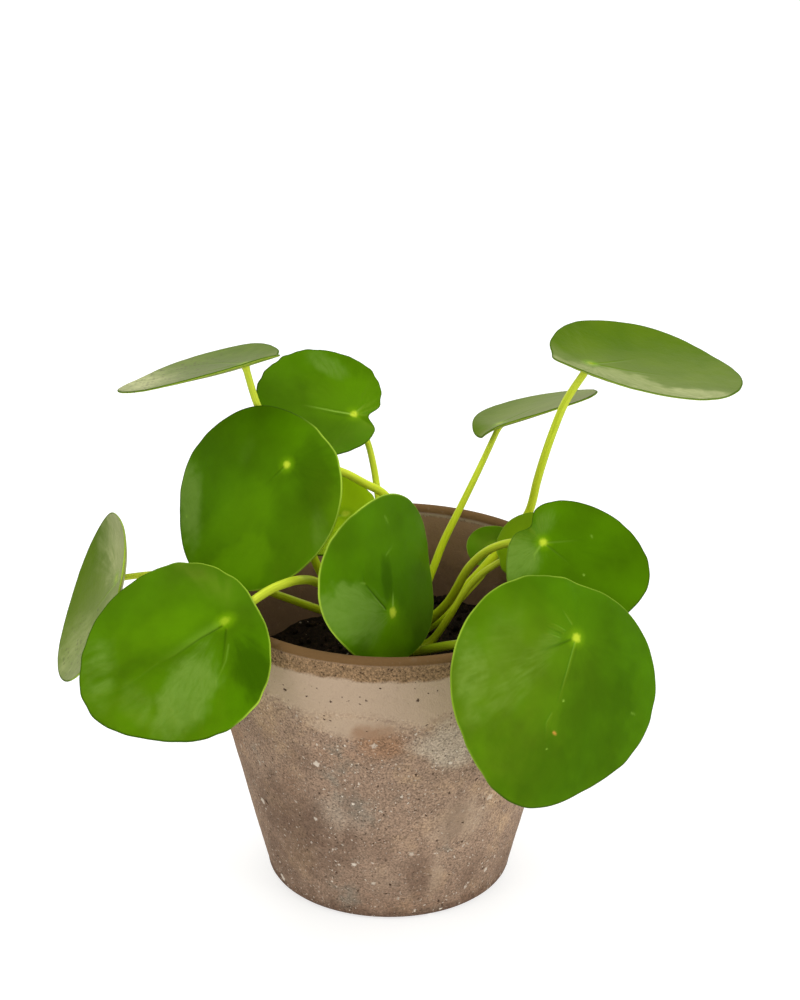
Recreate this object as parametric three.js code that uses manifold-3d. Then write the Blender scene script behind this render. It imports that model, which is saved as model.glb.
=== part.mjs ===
// Potted chinese money plant: thirteen round leaves on long stalks, a short stem, soil and a tapered pot.
// Millimetres, +Z up, origin at the middle of the pot's foot, the front of the plant towards -Y.

import * as THREE from 'three';
import * as BufferGeometryUtils from 'three/addons/utils/BufferGeometryUtils.js';
import Module from 'manifold-3d';

const wasm = await Module();
wasm.setup();

// Pot: a tapered wall under a nearly upright collar with a rounded lip
const POT_HEIGHT = 129;
const LIP_RADIUS = 75;
const LIP_ROUND = 3;
const COLLAR_DEPTH = 27;
const COLLAR_RADIUS = 73.8;
const FOOT_RADIUS = 49.8;
const FOOT_ROUND = 4.5;
const WALL = 6;
const FLOOR = 8;
const COLLAR_EASE = 2;
const FOOT_STEPS = 4;
const LIP_STEPS = 8;
const POT_SIDES = 64;

// Soil: an uneven top that lies higher on the right. Two waves that cross make it uneven.
const SOIL_LEVEL = 88;
const SOIL_RISE = 0.1;
const SOIL_BUMP = 1.3;
const SOIL_WAVE = { alongX: 0.21, alongY: 0.17, shift: 1.1 };
const SOIL_CROSS_WAVE = { alongX: 0.09, alongY: -0.26, shift: 2, share: 0.6 };
const SOIL_RINGS = 7;
const SOIL_SIDES = 40;
const SEAT_GAP = 0.3;

// Stem: a short upright trunk that stands in a plain hole in the soil
const STEM_X = 8;
const STEM_Y = 6;
const STEM_FOOT = 70;
const STEM_TOP = 119;
const STEM_RADIUS = 5.2;
const STEM_TOP_RADIUS = 4.4;
const STEM_SIDES = 20;
const RING_SPACING = 4.9;
const RING_SWELL = 0.35;
const DOME_HEIGHT = 2.6;
const DOME_SHOULDER = { radiusShare: 0.7, depthShare: 0.3 };

// Leaves: one blade and one stalk each. Notch width in radians about the outline's middle.
const BLADE_THICKNESS = 0.9;
const BLADE_SIDES = 40;
const BLADE_RINGS = 4;
const RIM_WAVES = 5;
const NOTCH_WIDTH = 0.17;
const NOTCH_CROWDING = 0.45;
const STALK_SIDES = 8;
const STALK_STEP = 7;
const STALK_OVERRUN = 0.6;
const TRIM_DEPTH = 7;

// Each leaf, seen along its own upper side.
// at: where the stalk meets the blade. face: the heading that the upper side leans to, anticlockwise from +X.
// tilt: how far it leans from level. spin: the tip's turn from the downhill line. middle: from the stalk to
// the outline's middle. dish: how far the rim stands above the stalk's place (minus: below). saddle: rim
// higher at tip and notch than at the sides. notch: its depth. wave: height of the rim's waves.
// radii: the outline's radius about its middle at every 30 degrees from the tip.
// leavesStem: the stalk's height on the stem. stalk: its radius at foot and tip. path: the points that it
// passes on its way out.
const LEAVES = [
  {
    name: '01', at: [-57.5, 17, 212.5], face: 136, tilt: 18, spin: 46, middle: 16.5, dish: 2.25, saddle: -1.5,
    notch: 2, wave: 0.1,
    radii: [34.25, 33, 32.25, 33.25, 33.25, 32.5, 32, 31.25, 32.25, 32.25, 31.75, 31.25],
    leavesStem: 106, stalk: [2, 1.5],
    path: [[3, 5.5, 108], [-12, 3, 116], [-24, 0, 125], [-30, -2, 137], [-34, 1, 148.5], [-38.5, 5.5, 163.5],
      [-45.5, 11, 180.5], [-53, 16, 196.5]],
  },
  {
    name: '02', at: [-15, 34, 184.5], face: 283, tilt: 37, spin: 249, middle: 14.5, dish: 2.25, saddle: -0.5,
    notch: 4.5, wave: 0.3,
    radii: [25.75, 24.5, 25.75, 25.75, 24.75, 25.5, 25, 26, 26.5, 25, 25.5, 25.75],
    leavesStem: 113.5, stalk: [1.75, 1.25],
    path: [[4.5, 11, 118.5], [0.5, 12, 129], [-3.5, 12.5, 147], [-5.5, 19, 159], [-7, 25, 166],
      [-9.5, 29.5, 174.5]],
  },
  {
    name: '03', at: [-40, -12, 182], face: 234, tilt: 57, spin: 327, middle: 18.5, dish: -3, saddle: 0,
    notch: 0.8, wave: 0.25,
    radii: [38.5, 38, 37, 37, 38.25, 38, 37, 36, 38, 38, 38, 36.25],
    leavesStem: 113, stalk: [2, 1.5],
    path: [[8, 4.5, 121.5], [6.5, 3.5, 134], [3, 3, 152], [-2.5, 0, 164.5], [-10, -2, 170], [-19.5, -4, 176],
      [-27.5, -6, 178.5]],
  },
  {
    name: '04', at: [-107.5, -10, 132], face: 192, tilt: 68, spin: 10, middle: 10, dish: 7.25, saddle: 1,
    notch: 0.2, wave: 0.1,
    radii: [35.25, 34.25, 34.5, 34.75, 34.75, 35, 34.5, 35, 36, 34.75, 34.5, 35.5],
    leavesStem: 96, stalk: [2, 1.3],
    path: [[2, 4, 98], [-12, 0, 108.5], [-28, -6, 117], [-45, -14, 127.5], [-58, -14, 132.5], [-72, -13, 135],
      [-85, -11, 135], [-97, -10, 133.6]],
  },
  {
    name: '05', at: [-62, -62, 139], face: 260, tilt: 44, spin: 308, middle: 22, dish: -4, saddle: 0,
    notch: 0.8, wave: 0.3,
    radii: [39.5, 36.25, 34.75, 36.75, 37.5, 36, 36, 37.25, 37.25, 35.25, 35.25, 36.75],
    leavesStem: 100, stalk: [2.1, 1.75],
    path: [[3, 1.5, 103.5], [-6, -3, 112], [-16, -8, 123.5], [-28, -21, 135.8], [-33, -35.5, 144],
      [-38.5, -43, 146.5], [-45.5, -46.6, 145], [-51.2, -50, 142.5]],
  },
  {
    name: '06', at: [-18, 20, 147], face: 265, tilt: 31, spin: 285, middle: 7, dish: 1, saddle: 0,
    notch: 1.5, wave: 0.3,
    radii: [20, 20.5, 20, 19.5, 20.5, 20, 20.5, 20, 21.5, 21.5, 19.5, 20],
    leavesStem: 109.5, stalk: [1.7, 1.3],
    path: [[3, 9.5, 112.5], [-4.5, 12.5, 121.5], [-11.5, 15, 131], [-16, 18.5, 140]],
  },
  {
    name: '07', at: [1, -49, 137], face: 321, tilt: 75, spin: 178, middle: 12, dish: -3.25, saddle: 0.5,
    notch: 1, wave: 0.2,
    radii: [31.25, 31.5, 34, 34.5, 31, 32, 33, 34.5, 32.5, 29.75, 33.5, 34.75],
    leavesStem: 108, stalk: [2, 1.6],
    path: [[6.5, 0.5, 111.5], [1, -4, 121], [-4, -16, 126], [-5.5, -30, 129.5], [-4.5, -38, 131.5],
      [-2, -43, 133.5]],
  },
  {
    name: '08', at: [78, 18, 213], face: 5, tilt: 10, spin: 0, middle: 21, dish: 4.5, saddle: -1.75,
    notch: 1.5, wave: 0.2,
    radii: [39.75, 38, 38.5, 39, 38.25, 37.75, 38.75, 39, 38, 38, 38.25, 38.25],
    leavesStem: 98.5, stalk: [2.1, 1.6],
    path: [[13, 10.5, 100.5], [22, 11, 106], [29, 14.5, 115.5], [36, 18, 122.5], [43, 22, 129.5],
      [50, 25.5, 137], [55.5, 26, 145.5], [58.6, 22.5, 161.4], [60.7, 21, 170.8], [64.4, 19.5, 184.4],
      [69, 18.5, 197.5]],
  },
  {
    name: '09', at: [44, 42, 177.5], face: 151, tilt: 23, spin: 233, middle: 15, dish: 0.75, saddle: -2.5,
    notch: 1, wave: 0.1,
    radii: [26.5, 25.75, 25.5, 26.5, 26, 25.25, 26.25, 27, 27.25, 27, 26.75, 27.5],
    leavesStem: 109, stalk: [1.85, 1.2],
    path: [[11, 9, 112], [17, 18, 123.5], [21.5, 24, 133.5], [28, 29, 146], [35.1, 34, 160]],
  },
  {
    name: '10', at: [59, -27, 156.5], face: 282, tilt: 48, spin: 38, middle: 16.5, dish: 1.25, saddle: 0.75,
    notch: 4, wave: 0.2,
    radii: [26, 28.75, 29.5, 28.5, 28.25, 29.5, 28.25, 27, 27, 29, 28.25, 28.75],
    leavesStem: 104, stalk: [2.1, 1.6],
    path: [[15.5, 4, 108], [23, -3, 119], [31.5, -11, 139], [39, -16, 148.5], [47, -19.5, 153],
      [54, -22.5, 154]],
  },
  {
    name: '11', at: [42, 42, 122], face: 254, tilt: 33, spin: 250, middle: 1.5, dish: 1, saddle: 0,
    notch: 0.8, wave: 0.2,
    radii: [10, 9.5, 9.5, 10, 10, 9.5, 10, 9.5, 10, 10.5, 10, 10],
    leavesStem: 94, stalk: [1.5, 1.2],
    path: [[9, 12.5, 94.5], [13, 18, 97], [23, 22, 102.5], [32, 29, 109], [39, 38, 114]],
  },
  {
    name: '12', at: [50, 8, 139], face: 239, tilt: 52, spin: 140, middle: 3.5, dish: -1.5, saddle: 0,
    notch: 0.8, wave: 0.2,
    radii: [13, 13, 12, 11.5, 11.5, 12, 13, 14.5, 12.5, 11.5, 12, 12.5],
    leavesStem: 94, stalk: [1.7, 1.4],
    path: [[15, 4.5, 96.5], [23, 5, 107.5], [29, 9, 116.5], [36, 11, 124.5], [43, 12, 129.5],
      [48.5, 11.5, 133]],
  },
  {
    name: '13', at: [70, -72, 138], face: 304, tilt: 70, spin: 327, middle: 20.5, dish: -4.5, saddle: 0,
    notch: 0.8, wave: 0.2,
    radii: [45.75, 42.25, 42.75, 46.5, 47.25, 44.25, 41.75, 43.5, 46.75, 47, 44.75, 43.75],
    leavesStem: 96, stalk: [2.2, 1.8],
    path: [[8, -1, 98], [7.5, -10, 102], [7.5, -24, 108], [12, -35, 113.5], [18.5, -52, 123.5],
      [25, -62.5, 130], [31.5, -65.5, 132.3], [38, -67, 133], [49.5, -68, 134.2]],
  },
];

// Finishes
const FINISH = {
  clay: { color: 0x9a8472, roughness: 0.92, metalness: 0 },
  soil: { color: 0x1c1611, roughness: 1, metalness: 0 },
  bark: { color: 0x4a5a1c, roughness: 0.7, metalness: 0 },
  leaf: { color: 0x4b7d0a, roughness: 0.42, metalness: 0 },
  stalk: { color: 0x9fb41a, roughness: 0.45, metalness: 0 },
};

const plant = new THREE.Group();

/** Adds one named piece with a finish of its own. */
function addPiece(name, geometry, finish) {
  const mesh = new THREE.Mesh(geometry, new THREE.MeshStandardMaterial(finish));
  mesh.name = name;
  plant.add(mesh);
}

/** Merges a geometry's shared corners so that only its places are left. */
function weld(geometry) {
  const bare = geometry.clone();
  bare.deleteAttribute('normal');
  bare.deleteAttribute('uv');
  return BufferGeometryUtils.mergeVertices(bare);
}

/** Turns a closed geometry into a solid that can be joined and cut. */
function solidOf(geometry) {
  const welded = weld(geometry);
  return new wasm.Manifold(new wasm.Mesh({
    numProp: 3,
    vertProperties: new Float32Array(welded.attributes.position.array),
    triVerts: new Uint32Array(welded.index.array),
  }));
}

/** Turns a solid back into a geometry. */
function geometryOf(solid) {
  const mesh = solid.getMesh();
  const geometry = new THREE.BufferGeometry();
  geometry.setAttribute('position', new THREE.BufferAttribute(new Float32Array(mesh.vertProperties), 3));
  geometry.setIndex(new THREE.BufferAttribute(new Uint32Array(mesh.triVerts), 1));
  geometry.computeVertexNormals();
  return geometry;
}

/** Makes an indexed geometry from a list of points and a list of triangles. */
function meshOf(points, triangles) {
  const geometry = new THREE.BufferGeometry();
  geometry.setAttribute('position', new THREE.Float32BufferAttribute(points.flatMap((p) => p.toArray()), 3));
  geometry.setIndex(triangles.flat());
  geometry.computeVertexNormals();
  return geometry;
}

/** Turns a profile of radius and height pairs about Z. */
function turned(profile, sides) {
  const points = profile.map(([radius, height]) => new THREE.Vector2(radius, height));
  return weld(new THREE.LatheGeometry(points, sides).rotateX(Math.PI / 2));
}

/** Points on an arc about a centre in the profile's plane, from one angle to another in degrees. */
function arc(centreRadius, centreHeight, round, from, to, steps) {
  return Array.from({ length: steps + 1 }, (_, step) => {
    const angle = THREE.MathUtils.degToRad(from + ((to - from) * step) / steps);
    return [centreRadius + round * Math.cos(angle), centreHeight + round * Math.sin(angle)];
  });
}

/** The pot's outer radius at a height on its tapered wall. */
function taperRadius(height) {
  const share = (height - FOOT_ROUND) / (POT_HEIGHT - COLLAR_DEPTH - FOOT_ROUND);
  return FOOT_RADIUS + (COLLAR_RADIUS - FOOT_RADIUS) * share;
}

/** Pot: foot, taper, collar, rounded lip and the hollow inside, in one closed profile. */
function potGeometry() {
  const collarFoot = POT_HEIGHT - COLLAR_DEPTH;
  const lipCentre = LIP_RADIUS - LIP_ROUND;
  const lipHeight = POT_HEIGHT - LIP_ROUND;
  const profile = [
    [0, 0],
    ...arc(FOOT_RADIUS - FOOT_ROUND, FOOT_ROUND, FOOT_ROUND, -90, 0, FOOT_STEPS),
    [taperRadius(collarFoot - COLLAR_EASE), collarFoot - COLLAR_EASE],
    [COLLAR_RADIUS, collarFoot + COLLAR_EASE],
    ...arc(lipCentre, lipHeight, LIP_ROUND, 0, 180, LIP_STEPS),
    [COLLAR_RADIUS - WALL, collarFoot],
    [taperRadius(FLOOR) - WALL, FLOOR],
    [0, FLOOR],
  ];
  return turned(profile, POT_SIDES);
}

/** The soil's height at a place on its top. */
function soilHeight(x, y) {
  const wave = Math.sin(x * SOIL_WAVE.alongX + SOIL_WAVE.shift) * Math.cos(y * SOIL_WAVE.alongY);
  const crossing = x * SOIL_CROSS_WAVE.alongX + y * SOIL_CROSS_WAVE.alongY + SOIL_CROSS_WAVE.shift;
  const bumps = wave + SOIL_CROSS_WAVE.share * Math.sin(crossing);
  return SOIL_LEVEL + SOIL_RISE * x + SOIL_BUMP * bumps;
}

/** Radius that the soil fills at a height inside the pot. */
function soilRadius(height) {
  const collarFoot = POT_HEIGHT - COLLAR_DEPTH;
  const innerFoot = taperRadius(FLOOR) - WALL;
  const share = (height - FLOOR) / (collarFoot - FLOOR);
  return innerFoot + (COLLAR_RADIUS - WALL - innerFoot) * share;
}

/** Soil: fills the pot to an uneven top, with a plain hole for the stem. */
function soilGeometry() {
  const points = [];
  const triangles = [];
  const facet = Math.cos(Math.PI / SOIL_SIDES);
  const floorHeight = FLOOR + SEAT_GAP;
  const ringPoint = (radius, side, height) => {
    const angle = (2 * Math.PI * side) / SOIL_SIDES;
    return new THREE.Vector3(radius * Math.cos(angle), radius * Math.sin(angle), height);
  };
  points.push(new THREE.Vector3(0, 0, soilHeight(0, 0)));
  for (let ring = 1; ring <= SOIL_RINGS; ring += 1) {
    for (let side = 0; side < SOIL_SIDES; side += 1) {
      const wide = (soilRadius(SOIL_LEVEL) - SEAT_GAP) * facet;
      const flat = ringPoint((wide * ring) / SOIL_RINGS, side, 0);
      const height = soilHeight(flat.x, flat.y);
      const reach = ((soilRadius(height) * facet - SEAT_GAP) * ring) / SOIL_RINGS;
      points.push(ringPoint(reach, side, height));
    }
  }
  for (let side = 0; side < SOIL_SIDES; side += 1) {
    points.push(ringPoint(soilRadius(floorHeight) * facet - SEAT_GAP, side, floorHeight));
  }
  points.push(new THREE.Vector3(0, 0, floorHeight));
  const at = (ring, side) => 1 + (ring - 1) * SOIL_SIDES + (side % SOIL_SIDES);
  for (let side = 0; side < SOIL_SIDES; side += 1) {
    triangles.push([0, at(1, side), at(1, side + 1)]);
    for (let ring = 1; ring <= SOIL_RINGS; ring += 1) {
      triangles.push([at(ring, side), at(ring + 1, side), at(ring + 1, side + 1)]);
      triangles.push([at(ring, side), at(ring + 1, side + 1), at(ring, side + 1)]);
    }
    triangles.push([points.length - 1, at(SOIL_RINGS + 1, side + 1), at(SOIL_RINGS + 1, side)]);
  }
  const hole = stemGeometry(SEAT_GAP);
  return geometryOf(solidOf(meshOf(points, triangles)).subtract(solidOf(hole)));
}

/** Stem: a short trunk with the faint rings that old leaves left, grown all over by an allowance. */
function stemGeometry(allowance = 0) {
  const rings = Math.round((STEM_TOP - STEM_FOOT) / RING_SPACING);
  const profile = [[0, STEM_FOOT - allowance], [STEM_RADIUS + allowance, STEM_FOOT - allowance]];
  for (let ring = 1; ring < rings; ring += 1) {
    const share = ring / rings;
    const radius = STEM_RADIUS + (STEM_TOP_RADIUS - STEM_RADIUS) * share + (ring % 2) * RING_SWELL;
    profile.push([radius + allowance, STEM_FOOT + (STEM_TOP - STEM_FOOT) * share]);
  }
  const shoulderRadius = STEM_TOP_RADIUS * DOME_SHOULDER.radiusShare;
  const shoulderHeight = STEM_TOP - DOME_HEIGHT * DOME_SHOULDER.depthShare;
  profile.push([STEM_TOP_RADIUS + allowance, STEM_TOP - DOME_HEIGHT]);
  profile.push([shoulderRadius + allowance, shoulderHeight + allowance]);
  profile.push([0, STEM_TOP + allowance]);
  return turned(profile, STEM_SIDES).translate(STEM_X, STEM_Y, 0);
}

/** The three directions of a leaf: to its tip, to its side and straight up from its upper face. */
function leafAxes({ face, tilt, spin }) {
  const [heading, lean, turn] = [face, tilt, spin].map(THREE.MathUtils.degToRad);
  const up = new THREE.Vector3(
    Math.sin(lean) * Math.cos(heading),
    Math.sin(lean) * Math.sin(heading),
    Math.cos(lean),
  );
  const downhill = new THREE.Vector3(
    Math.cos(lean) * Math.cos(heading),
    Math.cos(lean) * Math.sin(heading),
    -Math.sin(lean),
  );
  const across = new THREE.Vector3().crossVectors(up, downhill);
  const tip = downhill.multiplyScalar(Math.cos(turn)).addScaledVector(across, Math.sin(turn));
  return { tip, side: new THREE.Vector3().crossVectors(up, tip), up };
}

/** Outline radius at an angle: the smoothest wave through evenly spaced radii, less the notch. */
function outlineRadius(leaf, angle) {
  const count = leaf.radii.length;
  const smooth = leaf.radii.reduce((sum, radius, index) => {
    const half = (angle - (2 * Math.PI * index) / count) / 2;
    const onRadius = Math.abs(Math.sin(half)) < Number.EPSILON;
    const weight = onRadius ? 1 : Math.sin(count * half) / (count * Math.tan(half));
    return sum + radius * weight;
  }, 0);
  return smooth - leaf.notch * Math.exp(-(((angle - Math.PI) / NOTCH_WIDTH) ** 2));
}

/** Blade: a dished and waved disc whose two faces are split into triangles alike. */
function bladeGeometry(leaf, below, above) {
  const { tip, side, up } = leafAxes(leaf);
  const place = (angle, share, lift) => {
    const radius = outlineRadius(leaf, angle);
    const along = leaf.middle + radius * Math.cos(angle);
    const sideways = radius * Math.sin(angle);
    const bearing = Math.atan2(sideways, along);
    const wave = leaf.wave * Math.sin(RIM_WAVES * angle + Number(leaf.name)) * share ** 3;
    const rise = (leaf.dish + leaf.saddle * Math.cos(2 * bearing)) * share ** 2 + wave;
    return new THREE.Vector3(...leaf.at)
      .addScaledVector(tip, along * share)
      .addScaledVector(side, sideways * share)
      .addScaledVector(up, rise + lift);
  };
  const angles = Array.from({ length: BLADE_SIDES }, (_, index) => {
    const even = (2 * Math.PI * index) / BLADE_SIDES;
    return even + NOTCH_CROWDING * Math.sin(even);
  });
  const layer = (lift) => [
    place(0, 0, lift),
    ...Array.from({ length: BLADE_RINGS }, (_, ring) => (
      angles.map((angle) => place(angle, (ring + 1) / BLADE_RINGS, lift))
    )).flat(),
  ];
  const top = layer(above);
  const points = [...top, ...layer(-below)];
  const triangles = [];
  const at = (ring, sector) => 1 + (ring - 1) * BLADE_SIDES + (sector % BLADE_SIDES);
  const addBoth = (a, b, c) => {
    triangles.push([a, b, c]);
    triangles.push([a + top.length, c + top.length, b + top.length]);
  };
  for (let sector = 0; sector < BLADE_SIDES; sector += 1) {
    addBoth(0, at(1, sector), at(1, sector + 1));
    for (let ring = 1; ring < BLADE_RINGS; ring += 1) {
      addBoth(at(ring, sector), at(ring + 1, sector), at(ring + 1, sector + 1));
      addBoth(at(ring, sector), at(ring + 1, sector + 1), at(ring, sector + 1));
    }
    const here = at(BLADE_RINGS, sector);
    const next = at(BLADE_RINGS, sector + 1);
    triangles.push([here, here + top.length, next + top.length]);
    triangles.push([here, next + top.length, next]);
  }
  return meshOf(points, triangles);
}

/** A closed tube along a curve, thick at its foot and slimmer at its tip. */
function taperedTube(curve, steps, footRadius, tipRadius) {
  const frames = curve.computeFrenetFrames(steps, false);
  const points = [];
  for (let step = 0; step <= steps; step += 1) {
    const share = step / steps;
    const radius = footRadius + (tipRadius - footRadius) * share;
    const centre = curve.getPointAt(share);
    for (let sector = 0; sector < STALK_SIDES; sector += 1) {
      const angle = (2 * Math.PI * sector) / STALK_SIDES;
      points.push(centre.clone()
        .addScaledVector(frames.normals[step], radius * Math.cos(angle))
        .addScaledVector(frames.binormals[step], radius * Math.sin(angle)));
    }
  }
  points.push(curve.getPointAt(0), curve.getPointAt(1));
  const [footCentre, tipCentre] = [points.length - 2, points.length - 1];
  const at = (step, sector) => step * STALK_SIDES + (sector % STALK_SIDES);
  const triangles = [];
  for (let sector = 0; sector < STALK_SIDES; sector += 1) {
    for (let step = 0; step < steps; step += 1) {
      triangles.push([at(step, sector), at(step, sector + 1), at(step + 1, sector + 1)]);
      triangles.push([at(step, sector), at(step + 1, sector + 1), at(step + 1, sector)]);
    }
    triangles.push([footCentre, at(0, sector + 1), at(0, sector)]);
    triangles.push([tipCentre, at(steps, sector), at(steps, sector + 1)]);
  }
  return meshOf(points, triangles);
}

/** Stalk: runs from the stem to the blade, and is cut back to a small gap at both seats. */
function stalkGeometry(leaf) {
  const { up } = leafAxes(leaf);
  const end = new THREE.Vector3(...leaf.at).addScaledVector(up, STALK_OVERRUN);
  const start = new THREE.Vector3(STEM_X, STEM_Y, leaf.leavesStem);
  const curve = new THREE.CatmullRomCurve3([start, ...leaf.path.map((p) => new THREE.Vector3(...p)), end]);
  const steps = Math.round(curve.getLength() / STALK_STEP);
  const tube = solidOf(taperedTube(curve, steps, ...leaf.stalk));
  const bladeSeat = solidOf(bladeGeometry(leaf, BLADE_THICKNESS / 2 + SEAT_GAP, TRIM_DEPTH));
  return geometryOf(tube.subtract(solidOf(stemGeometry(SEAT_GAP))).subtract(bladeSeat));
}

addPiece('pot', potGeometry(), FINISH.clay);
addPiece('soil', soilGeometry(), FINISH.soil);
addPiece('stem', stemGeometry(), FINISH.bark);
LEAVES.forEach((leaf) => {
  addPiece(`leaf_${leaf.name}`, bladeGeometry(leaf, BLADE_THICKNESS / 2, BLADE_THICKNESS / 2), FINISH.leaf);
  addPiece(`stalk_${leaf.name}`, stalkGeometry(leaf), FINISH.stalk);
});

export default plant;
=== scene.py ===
"""Dresses the potted chinese money plant: clay pot, soil, stem, leaf stalks and leaf blades.

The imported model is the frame. Sizes here are millimetres, and make_piece turns them to metres.
"""

import logging
import math
from dataclasses import dataclass, field
from enum import Enum

import bpy
import numpy as np
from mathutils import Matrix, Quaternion, Vector, noise


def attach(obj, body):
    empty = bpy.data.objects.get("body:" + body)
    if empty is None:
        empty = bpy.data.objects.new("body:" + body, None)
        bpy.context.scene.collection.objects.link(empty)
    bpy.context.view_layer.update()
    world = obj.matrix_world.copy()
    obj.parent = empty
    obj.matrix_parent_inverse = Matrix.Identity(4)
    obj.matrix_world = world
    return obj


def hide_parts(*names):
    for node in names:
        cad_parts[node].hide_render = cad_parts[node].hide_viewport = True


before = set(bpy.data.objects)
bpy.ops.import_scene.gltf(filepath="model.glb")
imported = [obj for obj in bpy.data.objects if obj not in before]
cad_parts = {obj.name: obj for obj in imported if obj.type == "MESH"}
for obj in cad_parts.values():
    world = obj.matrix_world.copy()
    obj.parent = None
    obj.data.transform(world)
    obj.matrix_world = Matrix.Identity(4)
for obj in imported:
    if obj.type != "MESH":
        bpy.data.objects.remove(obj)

Point = tuple[float, float, float]
Place = tuple[float, float]
Masks = dict[str, np.ndarray]
Socket = bpy.types.NodeSocket
Sockets = dict[str, Socket]
Links = dict[str | int, object]

MM = 0.001
# Each finer layer of unevenness fades by this power of how much finer it is.
ROUGH_FADE = 0.9
ROUGH_FINER = 2.1
# A pattern's seed moves it by these shares in x, y and z.
SEED_SHARES = (1, 1.7, -0.6)
# The width of a blade's notch in radians, and how many waves run round its rim.
NOTCH_WIDTH = 0.17
RIM_WAVES = 5
log = logging.getLogger("money_plant")


def linear(code: str) -> tuple[float, float, float, float]:
    """Turns an sRGB hex colour to linear light.

    Args:
        code: six hex digits, such as "4b7d0a".

    Returns:
        Red, green, blue and full alpha.
    """
    shares = [int(code[start:start + 2], 16) / 255 for start in (0, 2, 4)]
    levels = [share / 12.92 if share <= 0.04045 else ((share + 0.055) / 1.055) ** 2.4 for share in shares]
    return (levels[0], levels[1], levels[2], 1.0)


def per_metre(millimetres: float) -> float:
    """Gives the texture scale whose pattern repeats about once in a length."""
    return 1 / (millimetres * MM)


def add_node(tree: bpy.types.NodeTree, kind: str, links: Links | None = None,
             stops: tuple[tuple[float, str], ...] = (), **settings: object) -> bpy.types.Node:
    """Adds a node with its settings and links.

    Args:
        tree: the node tree that takes the node.
        kind: Blender's name of the node type.
        links: by input name or number, a socket to link or a plain value to set.
        stops: a colour ramp's places and hex colours.
        **settings: the node's own properties.

    Returns:
        The new node.
    """
    node = tree.nodes.new(kind)
    for name, value in settings.items():
        setattr(node, name, value)
    for key, value in (links or {}).items():
        if isinstance(value, bpy.types.NodeSocket):
            tree.links.new(value, node.inputs[key])
        else:
            node.inputs[key].default_value = value
    if stops:
        ramp = node.color_ramp
        while len(ramp.elements) < len(stops):
            ramp.elements.new(1.0)
        for element, (place, code) in zip(ramp.elements, stops):
            element.position = place
            element.color = linear(code)
    return node


@dataclass(frozen=True)
class Layer:
    """A colour that a mask lays over another.

    The fields are the mask, the colour, where in the mask it starts and is full, how much it covers at
    most and how ragged its edge is.
    """

    mask: str
    code: str
    none: float = 0.0
    full: float = 1.0
    most: float = 1.0
    ragged: float = 0.0


def add_layer(tree: bpy.types.NodeTree, layer: Layer, value: Socket, under: Socket,
              most: Socket | None = None) -> Socket:
    """Lays a colour over another where a mask shows it.

    Args:
        tree: the material's nodes.
        layer: the colour and its limits.
        value: the mask.
        under: the colour below.
        most: how much the layer covers at most, where that changes from piece to piece.

    Returns:
        The colour with the layer on it.
    """
    share = add_node(tree, "ShaderNodeMapRange", {
        "Value": value, "From Min": layer.none, "From Max": layer.full,
        "To Max": layer.most if most is None else most}, interpolation_type="SMOOTHSTEP")
    mixed = add_node(tree, "ShaderNodeMix", {0: share.outputs["Result"], 6: under, 7: linear(layer.code)},
                     data_type="RGBA")
    return mixed.outputs[2]


def scatter(tree: bpy.types.NodeTree, place: Socket, spacing: float, empty: float, widest: float) -> Socket:
    """Scatters round dots, one at most in each cell of a random net.

    Args:
        tree: the material's nodes.
        place: the places that the net covers.
        spacing: the width of a cell in mm.
        empty: the share of cells that stay empty.
        widest: the widest dot's radius as a share of the spacing.

    Returns:
        How far inside a dot each place lies, as a share of the spacing, and less than 0 outside the dots.
    """
    cells = add_node(tree, "ShaderNodeTexVoronoi", {"Vector": place, "Scale": per_metre(spacing)})
    pick = add_node(tree, "ShaderNodeSeparateColor", {0: cells.outputs["Color"]})
    radius = add_node(tree, "ShaderNodeMapRange",
                      {"Value": pick.outputs[0], "From Min": empty, "To Max": widest})
    return add_node(tree, "ShaderNodeMath", {0: radius.outputs["Result"], 1: cells.outputs["Distance"]},
                    operation="SUBTRACT").outputs[0]


def start_finish(name: str) -> tuple[bpy.types.Material, bpy.types.NodeTree, bpy.types.Node]:
    """Starts a material.

    Args:
        name: what the surface is and how it was made.

    Returns:
        The material, its nodes and its shader.
    """
    finish = bpy.data.materials.new(name)
    finish.use_nodes = True
    return finish, finish.node_tree, finish.node_tree.nodes["Principled BSDF"]


def ring_quads(rings: int, sides: int, first: int = 0, flipped: bool = False) -> list[list[int]]:
    """Joins closed rings of points with four-sided faces.

    Args:
        rings: how many rings there are.
        sides: how many points each ring has.
        first: the number of the first ring's first point.
        flipped: turns the faces over.

    Returns:
        The faces as lists of point numbers.
    """
    ring, side = np.meshgrid(np.arange(rings - 1), np.arange(sides), indexing="ij")
    here = first + ring * sides + side
    beside = first + ring * sides + (side + 1) % sides
    quads = np.stack([here, beside, beside + sides, here + sides], axis=-1).reshape(-1, 4)
    return (quads[:, ::-1] if flipped else quads).tolist()


def fan(centre: int, first: int, sides: int, flipped: bool = False) -> list[list[int]]:
    """Joins a point to a ring with triangles.

    Args:
        centre: the point's number.
        first: the number of the ring's first point.
        sides: how many points the ring has.
        flipped: turns the faces over.

    Returns:
        The faces as lists of point numbers.
    """
    side = np.arange(sides)
    faces = np.stack([np.full(sides, centre), first + side, first + (side + 1) % sides], axis=-1)
    return (faces[:, ::-1] if flipped else faces).tolist()


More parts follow.
